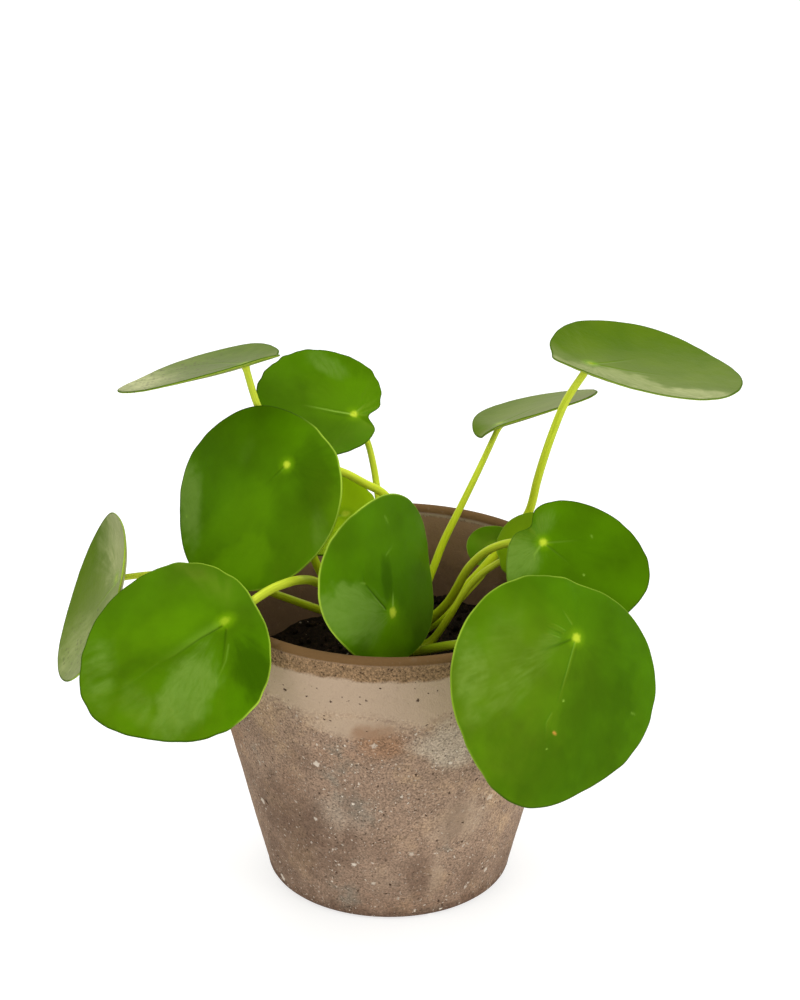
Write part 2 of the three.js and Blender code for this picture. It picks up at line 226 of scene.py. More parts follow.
def make_piece(name: str, points: np.ndarray, faces: list[list[int]], finish: bpy.types.Material,
               node: str, masks: Masks | None = None) -> bpy.types.Object:
    """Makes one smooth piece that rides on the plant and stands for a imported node.

    Args:
        name: the piece's name.
        points: its points in millimetres.
        faces: its faces as lists of point numbers.
        finish: its material.
        node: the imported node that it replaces.
        masks: numbers for each point, by the name that the material reads.

    Returns:
        The new object.
    """
    mesh = bpy.data.meshes.new(name)
    mesh.from_pydata((points * MM).tolist(), [], faces)
    mesh.shade_smooth()
    for mask, values in (masks or {}).items():
        layer = mesh.attributes.new(mask, "FLOAT", "POINT")
        layer.data.foreach_set("value", np.ascontiguousarray(values, dtype=np.float32))
    mesh.materials.append(finish)
    piece = bpy.data.objects.new(name, mesh)
    bpy.context.scene.collection.objects.link(piece)
    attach(piece, "root")
    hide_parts(node)
    log.info("%s: %d points, %d faces", name, len(points), len(faces))
    return piece


def rough(points: np.ndarray, grain: float, seed: float, octaves: int = 3) -> np.ndarray:
    """Gives smooth random heights between about -1 and 1 at places in space.

    Args:
        points: the places in millimetres.
        grain: the size of one bump in millimetres.
        seed: shifts the pattern, so that each use has its own.
        octaves: how many finer layers it has.

    Returns:
        One height for each place.
    """
    shift = Vector([seed * share for share in SEED_SHARES])
    return np.array([noise.fractal(Vector(point) / grain + shift, ROUGH_FADE, ROUGH_FINER, octaves)
                     for point in points])


def soft_step(values: np.ndarray, low: float, high: float) -> np.ndarray:
    """Rises smoothly from 0 at low to 1 at high."""
    share = np.clip((values - low) / (high - low), 0, 1)
    return share * share * (3 - 2 * share)


class ClayZone(Enum):
    """The parts of the pot's clay on which dots can show."""

    WORN = "worn"
    BARE = "bare"
    BAND = "band"


@dataclass(frozen=True)
class Dots:
    """A scatter of small dots, one at most in each cell of a random net.

    The fields are the cells' spacing and the widest radius in mm, the share of cells that stay empty, the
    colour, a shift in mm that keeps scatters apart, how high the dots stand (below 0 for pits), and the zone
    that has them.
    """

    spacing: float
    radius: float
    empty: float
    code: str
    shift: float
    rise: float
    zone: ClayZone = ClayZone.WORN


@dataclass(frozen=True)
class WeatheredClay:
    """Unglazed clay, thrown and fired, then aged out of doors: dry and chalky, with lime bloom, stains and
    painted shade.
    """

    pale: str = "b09a82"
    tan: str = "a68b6f"
    body: str = "917965"
    grey: str = "877b6b"
    rust: str = "8f6c50"
    ash: str = "ab9c89"
    # Dark damp, also used as painted shade on the pot's left side and round its foot.
    stain: str = "5f493a"
    band: str = "846a4d"
    lip: str = "6b5030"
    inside: str = "a98769"
    # Painted shade low down inside the pot.
    deep_shade: str = "705743"
    lime: str = "ddd0be"
    # The pits' dark colour is painted shade in their hollows.
    pit_shade: str = "3e2a1c"
    roughness: float = 0.93
    specular: float = 0.2
    blotch_mm: float = 26
    mottle_mm: float = 4.5
    # The clay's sand is about 0.3 mm wide. That is too fine to show, so it is drawn coarser.
    grain_mm: float = 0.85
    # The dots are bent out of round by this much.
    bend_mm: float = 1.1
    relief_mm: float = 0.45

    def dots(self) -> tuple[Dots, ...]:
        """Lists the lime specks, from dust to small lumps, and the pits, whose dark colour is painted shade.

        Returns:
            The scatters.
        """
        return (Dots(1.3, 0.42, 0.30, self.lime, 0.0, 0.3), Dots(2.7, 0.75, 0.50, self.lime, 7.3, 0.5),
                Dots(7.5, 1.8, 0.55, self.lime, 3.9, 0.8), Dots(1.4, 0.42, 0.40, self.pit_shade, 9.4, -0.8),
                Dots(2.8, 0.6, 0.40, self.pit_shade, 5.1, -1.2),
                Dots(4.6, 0.75, 0.35, self.pit_shade, 1.7, -1.2, ClayZone.BARE),
                Dots(2.3, 0.45, 0.5, self.pit_shade, 2.6, -1.0, ClayZone.BARE),
                Dots(1.1, 0.42, 0.3, self.pit_shade, 4.4, -0.8, ClayZone.BAND),
                Dots(0.9, 0.36, 0.4, self.lip, 6.2, -0.5, ClayZone.BAND))

    def layers(self) -> tuple[Layer, ...]:
        """Lists the pot's zones of colour in the order in which they lie over each other.

        Returns:
            The layers.
        """
        most = {"bloom": 0.95, "rust": 0.8, "ash": 0.85, "stain": 0.8}
        # The stain layer is dark damp and painted shade, and the deep layer is painted shade low inside the
        # pot.
        looks = (("bloom", self.pale, 0.9), ("rust", self.rust, 0.5), ("ash", self.ash, 0.5),
                 ("stain", self.stain, 1.0), ("band", self.band, 0.0), ("lip", self.lip, 0.2),
                 ("inside", self.inside, 0.3), ("deep_shade", self.deep_shade, 0.5))
        return tuple(Layer(zone, code, 0.05, 0.95, most.get(zone, 1.0), ragged)
                     for zone, code, ragged in looks)

    def material(self) -> bpy.types.Material:
        """Builds the material: blotches, zones, grain, lime specks and pits.

        Returns:
            The material.
        """
        clay, tree, shader = start_finish("weathered_unglazed_clay")
        place = add_node(tree, "ShaderNodeTexCoord").outputs["Object"]
        blotch, mottle, grain = (
            add_node(tree, "ShaderNodeTexNoise", {"Vector": place, "Scale": per_metre(size), "Detail": detail,
                                                  "Roughness": 0.62}).outputs["Fac"]
            for size, detail in ((self.blotch_mm, 5.0), (self.mottle_mm, 5.0), (self.grain_mm, 4.0)))
        colour, zones = self.lay_zones(tree, blotch, mottle, grain)
        zones |= self.open_zones(tree, zones)
        tones = ((mottle, 0.88, 1.12, ClayZone.WORN), (grain, 0.50, 1.55, ClayZone.WORN),
                 (grain, 0.4, 1.65, ClayZone.BAND))
        for value, low, high, zone in tones:
            tone = add_node(tree, "ShaderNodeMapRange", {"Value": value, "From Min": 0.32, "From Max": 0.68,
                                                        "To Min": low, "To Max": high})
            fair = add_node(tree, "ShaderNodeMix", {0: zones[zone.value], 2: 1.0, 3: tone.outputs["Result"]},
                            data_type="FLOAT")
            colour = add_node(tree, "ShaderNodeVectorMath", {0: colour, 1: fair.outputs[0]},
                              operation="MULTIPLY").outputs[0]
        crowd = add_node(tree, "ShaderNodeMapRange", {"Value": blotch, "From Min": 0.36, "From Max": 0.6,
                                                     "To Min": 1.0, "To Max": 0.45})
        crowded = add_node(tree, "ShaderNodeMath", operation="MULTIPLY",
                           links={0: zones[ClayZone.WORN.value], 1: crowd.outputs["Result"]})
        height = add_node(tree, "ShaderNodeMath", {0: grain, 1: 0.5, 2: mottle}, operation="MULTIPLY_ADD")
        colour, height = self.scatter_dots(tree, place, colour, height.outputs[0],
                                           zones | {ClayZone.WORN.value: crowded.outputs[0]})
        tree.links.new(colour, shader.inputs["Base Color"])
        shader.inputs["Roughness"].default_value = self.roughness
        shader.inputs["Specular IOR Level"].default_value = self.specular
        bump = add_node(tree, "ShaderNodeBump", {"Height": height, "Distance": self.relief_mm * MM,
                                                "Strength": 0.9})
        tree.links.new(bump.outputs["Normal"], shader.inputs["Normal"])
        return clay

    def lay_zones(self, tree: bpy.types.NodeTree, blotch: Socket, mottle: Socket,
                  grain: Socket) -> tuple[Socket, Sockets]:
        """Lays the zones' colours over the blotched body, with ragged edges.

        Args:
            tree: the material's nodes.
            blotch: broad unevenness.
            mottle: finer unevenness.
            grain: the finest unevenness.

        Returns:
            The colour, and the zones' masks by name.
        """
        broad = add_node(tree, "ShaderNodeValToRGB", {"Fac": blotch},
                         stops=((0.32, self.grey), (0.44, self.body), (0.56, self.body), (0.70, self.tan)))
        colour = broad.outputs["Color"]
        uneven = add_node(tree, "ShaderNodeMath", {0: grain, 1: 0.6, 2: mottle}, operation="MULTIPLY_ADD")
        broken = add_node(tree, "ShaderNodeMath", {0: uneven.outputs[0], 1: 0.8},
                          operation="SUBTRACT").outputs[0]
        zones = {}
        for layer in self.layers():
            mask = add_node(tree, "ShaderNodeAttribute", attribute_name=layer.mask).outputs["Fac"]
            edge = add_node(tree, "ShaderNodeMath", {0: broken, 1: layer.ragged, 2: mask},
                            operation="MULTIPLY_ADD")
            colour = add_layer(tree, layer, edge.outputs[0], colour)
            zones[layer.mask] = mask
        return colour, zones

    def open_zones(self, tree: bpy.types.NodeTree, zones: Sockets) -> Sockets:
        """Works out where the clay is worn open, and where the outside is bare of lip and inner wall.

        Args:
            tree: the material's nodes.
            zones: the zones' masks by name.

        Returns:
            The two further masks by name.
        """
        smooth = add_node(tree, "ShaderNodeMath", {0: zones["bloom"], 1: zones["inside"]},
                          operation="MAXIMUM")
        smooth = add_node(tree, "ShaderNodeMath", {0: smooth.outputs[0], 1: zones["lip"]}, operation="ADD")
        worn = add_node(tree, "ShaderNodeMapRange", {"Value": smooth.outputs[0],
                                                     "From Min": 0.1, "From Max": 0.9,
                                                     "To Min": 1.0, "To Max": 0.04})
        covered = add_node(tree, "ShaderNodeMath", {0: zones["inside"], 1: zones["lip"]}, operation="MAXIMUM")
        bare = add_node(tree, "ShaderNodeMath", {0: 1.0, 1: covered.outputs[0]}, operation="SUBTRACT")
        return {ClayZone.WORN.value: worn.outputs["Result"], ClayZone.BARE.value: bare.outputs[0]}

    def scatter_dots(self, tree: bpy.types.NodeTree, place: Socket, colour: Socket, height: Socket,
                     zones: Sockets) -> tuple[Socket, Socket]:
        """Scatters the lime specks and pits, bent a little out of round.

        Args:
            tree: the material's nodes.
            place: the places on the pot.
            colour: the colour under the dots.
            height: the relief under the dots.
            zones: how much of the dots each zone shows.

        Returns:
            The colour and the relief with the dots.
        """
        bend = add_node(tree, "ShaderNodeTexNoise", {"Vector": place, "Scale": per_metre(self.mottle_mm / 4)})
        off = add_node(tree, "ShaderNodeVectorMath", {0: bend.outputs["Color"], 3: 2 * self.bend_mm * MM},
                       operation="SCALE")
        for dots in self.dots():
            step = dots.shift * MM
            moved = add_node(tree, "ShaderNodeVectorMath", {0: place, 1: (step, -step, step)},
                             operation="ADD")
            bent = add_node(tree, "ShaderNodeVectorMath", {0: moved.outputs[0], 1: off.outputs[0]},
                            operation="ADD")
            near = scatter(tree, bent.outputs[0], dots.spacing, dots.empty, dots.radius / dots.spacing)
            dot = add_node(tree, "ShaderNodeMapRange", {
                "Value": near, "From Max": 0.3 * dots.radius / dots.spacing, "To Max": 0.9})
            share = add_node(tree, "ShaderNodeMath", {0: dot.outputs["Result"], 1: zones[dots.zone.value]},
                             operation="MULTIPLY").outputs[0]
            mixed = add_node(tree, "ShaderNodeMix", {0: share, 6: colour, 7: linear(dots.code)},
                             data_type="RGBA")
            colour = mixed.outputs[2]
            height = add_node(tree, "ShaderNodeMath", {0: share, 1: dots.rise, 2: height},
                              operation="MULTIPLY_ADD").outputs[0]
        return colour, height


@dataclass(frozen=True)
class PottingSoil:
    """Peat and compost, moist and crumbly: near black, with brown crumbs and rare pale grit."""

    dark: str = "17110c"
    crumb: str = "483524"
    grit: str = "8d8170"
    roughness: float = 0.9
    specular: float = 0.2
    crumb_mm: float = 2.2
    grit_mm: float = 3.4
    relief_mm: float = 1.2

    def material(self) -> bpy.types.Material:
        """Builds the material: dark crumbs with pale grit.

        Returns:
            The material.
        """
        soil, tree, shader = start_finish("moist_potting_soil")
        place = add_node(tree, "ShaderNodeTexCoord").outputs["Object"]
        crumbs = add_node(tree, "ShaderNodeTexNoise", {"Vector": place, "Scale": per_metre(self.crumb_mm),
                                                      "Detail": 6.0, "Roughness": 0.8})
        brown = add_node(tree, "ShaderNodeValToRGB", {"Fac": crumbs.outputs["Fac"]},
                         stops=((0.5, self.dark), (0.74, self.crumb)))
        near = scatter(tree, place, self.grit_mm, 0.6, 0.2)
        dot = add_node(tree, "ShaderNodeMapRange", {"Value": near, "From Max": 0.04})
        mixed = add_node(tree, "ShaderNodeMix", {0: dot.outputs["Result"], 6: brown.outputs["Color"],
                                                7: linear(self.grit)}, data_type="RGBA")
        tree.links.new(mixed.outputs[2], shader.inputs["Base Color"])
        shader.inputs["Roughness"].default_value = self.roughness
        shader.inputs["Specular IOR Level"].default_value = self.specular
        bump = add_node(tree, "ShaderNodeBump", {"Height": crumbs.outputs["Fac"],
                                                "Distance": self.relief_mm * MM, "Strength": 1.0})
        tree.links.new(bump.outputs["Normal"], shader.inputs["Normal"])
        return soil


@dataclass(frozen=True)
class YoungBark:
    """The plant's short trunk: green bark that turns brown and corky between the scars of old leaves."""

    green: str = "5c6b1e"
    cork: str = "5a4930"
    scar: str = "8c7a4c"
    roughness: float = 0.7
    patch_mm: float = 4
    relief_mm: float = 0.5

    def material(self) -> bpy.types.Material:
        """Builds the material: green and corky patches with pale scars.

        Returns:
            The material.
        """
        bark, tree, shader = start_finish("young_green_bark")
        place = add_node(tree, "ShaderNodeTexCoord").outputs["Object"]
        patches = add_node(tree, "ShaderNodeTexNoise", {"Vector": place, "Scale": per_metre(self.patch_mm),
                                                       "Detail": 5.0, "Roughness": 0.7})
        colour = add_node(tree, "ShaderNodeValToRGB", {"Fac": patches.outputs["Fac"]},
                          stops=((0.35, self.cork), (0.52, self.green), (0.75, self.scar)))
        tree.links.new(colour.outputs["Color"], shader.inputs["Base Color"])
        shader.inputs["Roughness"].default_value = self.roughness
        bump = add_node(tree, "ShaderNodeBump", {"Height": patches.outputs["Fac"],
                                                "Distance": self.relief_mm * MM, "Strength": 0.8})
        tree.links.new(bump.outputs["Normal"], shader.inputs["Normal"])
        return bark


@dataclass(frozen=True)
class LeafStalk:
    """A grown stalk, smooth and juicy: pale yellow-green under a thin waxy skin, greener towards its foot.

    A stalk that lies in shadow is darkened with painted shade.
    """

    foot: str = "8ea60c"
    middle: str = "c2d41c"
    tip: str = "d4e244"
    streak: str = "9db40c"
    # Painted shade for the stalks that lie in shadow.
    ripe: str = "5c7006"
    sheen: str = "ffe98a"
    roughness: float = 0.38
    ior: float = 1.42
    relief_mm: float = 0.15
    # Streaks run lengthwise: this many lie along the whole stalk, and the scale sets how many lie round it.
    streak_lengths: float = 3
    streak_scale: float = 2.2

    def material(self) -> bpy.types.Material:
        """Builds the material: a change of green along the stalk, faint lengthwise streaks and painted shade.

        Returns:
            The material.
        """
        stalk, tree, shader = start_finish("smooth_leaf_stalk")
        along, around, ripe = (add_node(tree, "ShaderNodeAttribute", attribute_name=name).outputs["Fac"]
                               for name in ("along", "around", "ripe"))
        colour = add_node(tree, "ShaderNodeValToRGB", {"Fac": along},
                          stops=((0.0, self.foot), (0.35, self.middle), (1.0, self.tip)))
        length = add_node(tree, "ShaderNodeMath", {0: along, 1: self.streak_lengths}, operation="MULTIPLY")
        sheet = add_node(tree, "ShaderNodeCombineXYZ", {"X": around, "Y": length.outputs[0]})
        streaks = add_node(tree, "ShaderNodeTexNoise", {"Vector": sheet.outputs[0],
                                                        "Scale": self.streak_scale,
                                                        "Detail": 3.0, "Roughness": 0.6})
        share = add_node(tree, "ShaderNodeMapRange", {"Value": streaks.outputs["Fac"], "From Min": 0.45,
                                                     "From Max": 0.7, "To Max": 0.55})
        colour = colour.outputs["Color"]
        for amount, code in ((share.outputs["Result"], self.streak), (ripe, self.ripe)):
            colour = add_node(tree, "ShaderNodeMix", {0: amount, 6: colour, 7: linear(code)},
                              data_type="RGBA").outputs[2]
        tree.links.new(colour, shader.inputs["Base Color"])
        shader.inputs["Roughness"].default_value = self.roughness
        shader.inputs["IOR"].default_value = self.ior
        shader.inputs["Specular Tint"].default_value = linear(self.sheen)
        bump = add_node(tree, "ShaderNodeBump", {"Height": streaks.outputs["Fac"],
                                                "Distance": self.relief_mm * MM, "Strength": 0.5})
        tree.links.new(bump.outputs["Normal"], shader.inputs["Normal"])
        return stalk


class LeafAge(Enum):
    """Which green a leaf has: mature, young, or grey for the leaves seen at a glancing angle, with paler
    painted glare.
    """

    MATURE = "mature"
    YOUNG = "young"
    GREY = "grey"


@dataclass(frozen=True)
class WaxyLeaf:
    """A living blade under a smooth waxy skin: deep green and softly glossy, with pale veins, painted glare,
    painted light and shade, and a painted highlight along the rim.
    """

    age: LeafAge
    dark: str
    light: str
    halo: str = "6c9c00"
    # Painted light where light shines through or falls on the blade, painted shadow, and pale painted glare.
    painted_light: str = "588a00"
    painted_shadow: str = "2f5600"
    painted_glare: str = "668a32"
    # Pale veins, also painted highlight on the lit flanks of ridges and wrinkles.
    vein_and_highlight: str = "86ad3c"
    # Painted shade in creases and wrinkles, also the colour of a few dark dots.
    shade_and_dots: str = "264a00"
    spot: str = "b6cc30"
    fleck: str = "c98a3c"
    # A painted highlight along the lit side of the rim, and painted shade on the turned edge elsewhere.
    rim: str = "a4c43c"
    outline: str = "2c5400"
    speck: str = "2a3010"
    under: str = "93a83c"
    sheen: str = "ffe050"
    roughness: float = 0.34
    # The turned edge is matt beside the waxy face.
    edge_roughness: float = 0.8
    ior: float = 1.45
    relief_mm: float = 0.1
    speck_mm: float = 1.7
    mottle_mm: float = 16
    # The skin's cells are far too fine to show, so they are drawn as wide as this.
    cell_mm: float = 1.4
    rays: float = 8
    ray_mm: float = 6

    def layers(self) -> tuple[Layer, ...]:
        """Lists the colours that lie over the green, in their order.

        Returns:
            The layers.
        """
        return (Layer("painted_light", self.painted_light), Layer("painted_shadow", self.painted_shadow), Layer("painted_glare", self.painted_glare, most=0.9),
                Layer("from_stalk", self.halo, 5.5, 1.2, 0.7), Layer("shade", self.shade_and_dots),
                Layer("pale", self.vein_and_highlight), Layer("from_stalk", self.spot, 2.9, 1.3),
                Layer("fleck", self.fleck),
                Layer("edge", self.outline, most=0.9), Layer("rim", self.rim, most=0.9),
                Layer("under", self.under, 0.4, 0.6))

    def material(self) -> bpy.types.Material:
        """Builds the material: mottled green with spot, veins, painted glare, painted light and shade, a
        painted rim highlight and a paler underside.

        Returns:
            The material.
        """
        leaf, tree, shader = start_finish(f"waxy_leaf_{self.age.value}")
        place = add_node(tree, "ShaderNodeTexCoord").outputs["Object"]
        mottle, cells = (
            add_node(tree, "ShaderNodeTexNoise", {"Vector": place, "Scale": per_metre(size), "Detail": 3.0,
                                                  "Roughness": roughness}).outputs["Fac"]
            for size, roughness in ((self.mottle_mm, 0.5), (self.cell_mm, 0.6)))
        drawn = (layer.mask for layer in self.layers())
        names = dict.fromkeys(("along", "sideways", "spot", "specks", *drawn))
        masks = {name: add_node(tree, "ShaderNodeAttribute", attribute_name=name).outputs["Fac"]
                 for name in names if name != "from_stalk"}
        local = add_node(tree, "ShaderNodeCombineXYZ",
                         {"X": masks["along"], "Y": masks["sideways"]}).outputs[0]
        away = add_node(tree, "ShaderNodeVectorMath", {0: local}, operation="LENGTH").outputs["Value"]
        crinkle = self.crinkle(tree, local, away)
        # The wrinkles streak the painted glare.
        patchy = add_node(tree, "ShaderNodeMapRange", {"Value": crinkle, "From Min": 0.32, "From Max": 0.68,
                                                      "To Min": 0.8, "To Max": 1.16})
        masks["painted_glare"] = add_node(tree, "ShaderNodeMath", {0: masks["painted_glare"], 1: patchy.outputs["Result"]},
                                operation="MULTIPLY").outputs[0]
        # The cells fray the edges of the halo and the spot round the stalk's place.
        masks["from_stalk"] = add_node(tree, "ShaderNodeMath", {0: cells, 1: 1.4, 2: away},
                                       operation="MULTIPLY_ADD").outputs[0]
        green = add_node(tree, "ShaderNodeValToRGB", {"Fac": mottle},
                         stops=((0.32, self.dark), (0.68, self.light)))
        colour = green.outputs["Color"]
        for layer in self.layers():
            most = masks["spot"] if layer.code == self.spot else None
            colour = add_layer(tree, layer, masks[layer.mask], colour, most)
        near = scatter(tree, place, self.speck_mm, 0.15, 0.5)
        speck = add_node(tree, "ShaderNodeMapRange", {"Value": near, "From Max": 0.1})
        speck = add_node(tree, "ShaderNodeMath", {0: speck.outputs["Result"], 1: masks["specks"]},
                         operation="MULTIPLY")
        mixed = add_node(tree, "ShaderNodeMix", {0: speck.outputs[0], 6: colour, 7: linear(self.speck)},
                         data_type="RGBA")
        tree.links.new(mixed.outputs[2], shader.inputs["Base Color"])
        turned = add_node(tree, "ShaderNodeMath", {0: masks["edge"], 1: masks["rim"]}, operation="ADD")
        matt = add_node(tree, "ShaderNodeMapRange", {"Value": turned.outputs[0], "To Min": self.roughness,
                                                    "To Max": self.edge_roughness})
        tree.links.new(matt.outputs["Result"], shader.inputs["Roughness"])
        shader.inputs["IOR"].default_value = self.ior
        shader.inputs["Specular Tint"].default_value = linear(self.sheen)
        folds = add_node(tree, "ShaderNodeMath", {0: crinkle, 1: masks["painted_glare"]}, operation="MULTIPLY")
        skin = add_node(tree, "ShaderNodeMath", {0: folds.outputs[0], 1: 2.0, 2: cells},
                        operation="MULTIPLY_ADD")
        bump = add_node(tree, "ShaderNodeBump", {"Height": skin.outputs[0],
                                                "Distance": self.relief_mm * MM, "Strength": 0.5})
        tree.links.new(bump.outputs["Normal"], shader.inputs["Normal"])
        return leaf

    def crinkle(self, tree: bpy.types.NodeTree, local: Socket, away: Socket) -> Socket:
        """Draws fine wrinkles along rays from the stalk's place.

        Args:
            tree: the material's nodes.
            local: places on the blade, from the stalk's place.
            away: their distance from it.

        Returns:
            The wrinkles' height.
        """
        outward = add_node(tree, "ShaderNodeVectorMath", {0: local}, operation="NORMALIZE")
        rays = add_node(tree, "ShaderNodeVectorMath", {0: outward.outputs[0], 3: self.rays},
                        operation="SCALE")
        depth = add_node(tree, "ShaderNodeMath", {0: away, 1: 1 / self.ray_mm}, operation="MULTIPLY")
        lift = add_node(tree, "ShaderNodeCombineXYZ", {"Z": depth.outputs[0]})
        radial = add_node(tree, "ShaderNodeVectorMath", {0: rays.outputs[0], 1: lift.outputs[0]},
                          operation="ADD")
        return add_node(tree, "ShaderNodeTexNoise", {"Vector": radial.outputs[0], "Scale": 1.0, "Detail": 3.0,
                                                    "Roughness": 0.55, "Distortion": 1.6}).outputs["Fac"]


class StainKind(Enum):
    """What colours a patch of the pot: lime bloom, bare rust-red clay, grey ash, or dark patches of damp and
    painted shade.
    """

    BLOOM = "bloom"
    RUST = "rust"
    ASH = "ash"
    DAMP_AND_SHADE = "stain"


@dataclass(frozen=True)
class Stain:
    """A soft patch on the pot's outside, by its heading in degrees from the front and its height in mm."""

    heading: float
    height: float
    wide: float
    tall: float
    strength: float


STAINS = {
    StainKind.BLOOM: (
        Stain(-10, 99, 20, 6, 0.9), Stain(10, 103, 16, 6, 0.6), Stain(30, 48, 16, 14, 0.55),
        Stain(62, 66, 14, 28, 0.5), Stain(-4, 22, 8, 9, 0.3), Stain(21, 22, 5, 15, 0.5),
        Stain(235, 58, 22, 20, 0.6)),
    StainKind.RUST: (
        Stain(-1, 90, 11, 12, 0.9), Stain(-37, 62, 9, 18, 0.35), Stain(-14, 84, 18, 8, 0.35),
        Stain(0, 3, 100, 10, 0.35), Stain(120, 60, 30, 22, 0.7), Stain(285, 74, 22, 16, 0.6)),
    StainKind.ASH: (Stain(17, 90, 15, 13, 0.9), Stain(-19, 54, 14, 16, 0.6), Stain(165, 80, 26, 18, 0.8)),
    # Dark patches, partly damp and mostly painted shade: down the darker left side and low round the foot.
    StainKind.DAMP_AND_SHADE: (
        Stain(-37, 60, 9, 18, 0.45), Stain(-11, 42, 8, 9, 0.35), Stain(-33, 38, 25, 42, 0.74),
        Stain(-15, 42, 6, 16, 0.6), Stain(26, 48, 7, 14, 0.45), Stain(-14, 58, 8, 16, 0.5),
        Stain(-3, 37, 8, 9, 0.4), Stain(-48, 84, 12, 12, 0.35), Stain(-30, 78, 9, 9, 0.45),
        Stain(-62, 56, 9, 10, 0.4), Stain(-62, 28, 12, 14, 0.4), Stain(13, 22, 8, 17, 0.62),
        Stain(37, 16, 12, 16, 0.55), Stain(-50, 16, 22, 22, 0.6), Stain(-36, 8, 8, 12, 0.7),
        Stain(62, 10, 20, 16, 0.5), Stain(200, 16, 30, 14, 0.7)),
}


@dataclass
class Pot:
    """The clay pot: a tapered wall, a deep collar, a rough band and a rounded lip, with a closed floor."""

    finish: WeatheredClay = field(default_factory=WeatheredClay)
    height: float = 129
    lip_radius: float = 75
    lip_round: float = 3
    collar_foot: float = 102
    collar_radius: float = 73.8
    foot_radius: float = 49.8
    foot_round: float = 4.5
    wall: float = 6
    floor: float = 8
    band_low: float = 120
    # Where taper and collar meet, the corner is softened by this much.
    corner: float = 0.9
    # The lip's colour starts and is full this far under the top.
    lip_starts: float = 3.0
    lip_full: float = 1.6
    row: float = 1.15
    sides: int = 360
    # Three kinds of unevenness: how wide their bumps are, and how far they move the outside.
    swell_mm: float = 30
    wear_mm: float = 6
    grit_mm: float = 2.2
    swell_depth: float = 0.22
    wear_depth: float = 0.10
    grit_depth: float = 0.22
    band_worn: float = 0.1

    def outer_radius(self, height: np.ndarray | float) -> np.ndarray:
        """Gives the wall's outer radius at a height: the smaller of taper and collar, with a soft corner.

        Args:
            height: one height or several, in mm.

        Returns:
            The outer radius in mm.
        """
        taper_share = (height - self.foot_round) / (self.collar_foot - self.foot_round)
        taper = self.foot_radius + (self.collar_radius - self.foot_radius) * taper_share
        collar_share = (height - self.collar_foot) / (self.height - self.lip_round - self.collar_foot)
        collar = self.collar_radius + (self.lip_radius - self.collar_radius) * collar_share
        return -self.corner * np.log(np.exp(-taper / self.corner) + np.exp(-collar / self.corner))

    def profile(self) -> tuple[np.ndarray, np.ndarray]:
        """Lists the profile's points from the foot's middle round the lip to the floor's middle.

        Returns:
            Radius and height pairs, and how far inside each lies: 0 outside, 1 inside.
        """
        flat = self.foot_radius - self.foot_round
        under = [(flat * share, 0.0) for share in np.linspace(0.02, 1, 6)]
        turn = np.radians(np.linspace(-80, 0, 7))
        foot = [(flat + self.foot_round * math.cos(angle), self.foot_round * (1 + math.sin(angle)))
                for angle in turn]
        top = self.height - self.lip_round
        heights = np.linspace(self.foot_round, top, int((top - self.foot_round) / self.row))[1:]
        outside = [(float(self.outer_radius(height)), height) for height in heights]
        turn = np.radians(np.linspace(0, 180, 15))[1:]
        lip = [(self.lip_radius - self.lip_round + self.lip_round * math.cos(angle),
                top + self.lip_round * math.sin(angle)) for angle in turn]
        inner_foot = self.outer_radius(self.floor) - self.wall
        inner_top = self.collar_radius - self.wall
        upper = [(inner_top + (self.lip_radius - 2 * self.lip_round - inner_top) * share,
                  self.collar_foot + (top - self.collar_foot) * share) for share in np.linspace(1, 0, 18)[1:]]
        lower = [(inner_foot + (inner_top - inner_foot) * share,
                  self.floor + (self.collar_foot - self.floor) * share)
                 for share in [*np.linspace(1, 0.8, 10)[1:], *np.linspace(0.8, 0, 6)[1:]]]
        bottom = [(inner_foot * share, self.floor) for share in (0.6, 0.02)]
        parts = [under, foot, outside, lip, upper, lower, bottom]
        inside = np.concatenate([np.full(len(part), index > 3) for index, part in enumerate(parts)])
        return np.array([pair for part in parts for pair in part]), inside.astype(float)

    def build(self) -> bpy.types.Object:
        """Builds the pot with its worn surface and the masks of its zones.

        Returns:
            The pot.
        """
        profile, inside = self.profile()
        rows = len(profile)
        angle = np.linspace(0, math.tau, self.sides, endpoint=False)
        radius = np.repeat(profile[:, 0], self.sides)
        height = np.repeat(profile[:, 1], self.sides)
        inner = np.repeat(inside, self.sides)
        turn = np.tile(angle, rows)
        points = np.stack([radius * np.cos(turn), radius * np.sin(turn), height], axis=-1)
        swell = rough(points, self.swell_mm, 4.2, 2)
        wear = rough(points, self.wear_mm, 9.1, 3)
        grit = rough(points, self.grit_mm, 2.7, 2)
        lip = soft_step(height, self.height - self.lip_starts, self.height - self.lip_full)
        band_edge = self.band_low + 0.5 * wear
        band = soft_step(height, band_edge - 0.5, band_edge + 0.5) * (1 - inner) * (1 - lip)
        band *= soft_step(radius, self.lip_radius - 2 * self.lip_round, self.lip_radius - self.lip_round)
        shift = self.swell_depth * swell + self.wear_depth * wear
        shift += band * (self.grit_depth * grit - self.band_worn)
        # The foot's rim stays true, and lip and inner wall are smoother than the outside.
        shift *= np.clip(height / 6, 0, 1) * (1 - 0.7 * lip) * np.where(inner > 0, 0.4, 1.0)
        points[:, 0] += shift * np.cos(turn)
        points[:, 1] += shift * np.sin(turn)
        masks = {"band": band, "lip": lip} | self.zone_masks(turn, height, inner, swell, wear, lip)
        faces = ring_quads(rows, self.sides)
        faces += fan(len(points), 0, self.sides, flipped=True)
        faces += fan(len(points) + 1, (rows - 1) * self.sides, self.sides)
        caps = np.array([[0, 0, 0], [0, 0, self.floor]])
        masks = {name: np.append(values, [0, values[-1]]) for name, values in masks.items()}
        return make_piece("clay_pot", np.vstack([points, caps]), faces, self.finish.material(), "pot",
                          masks)

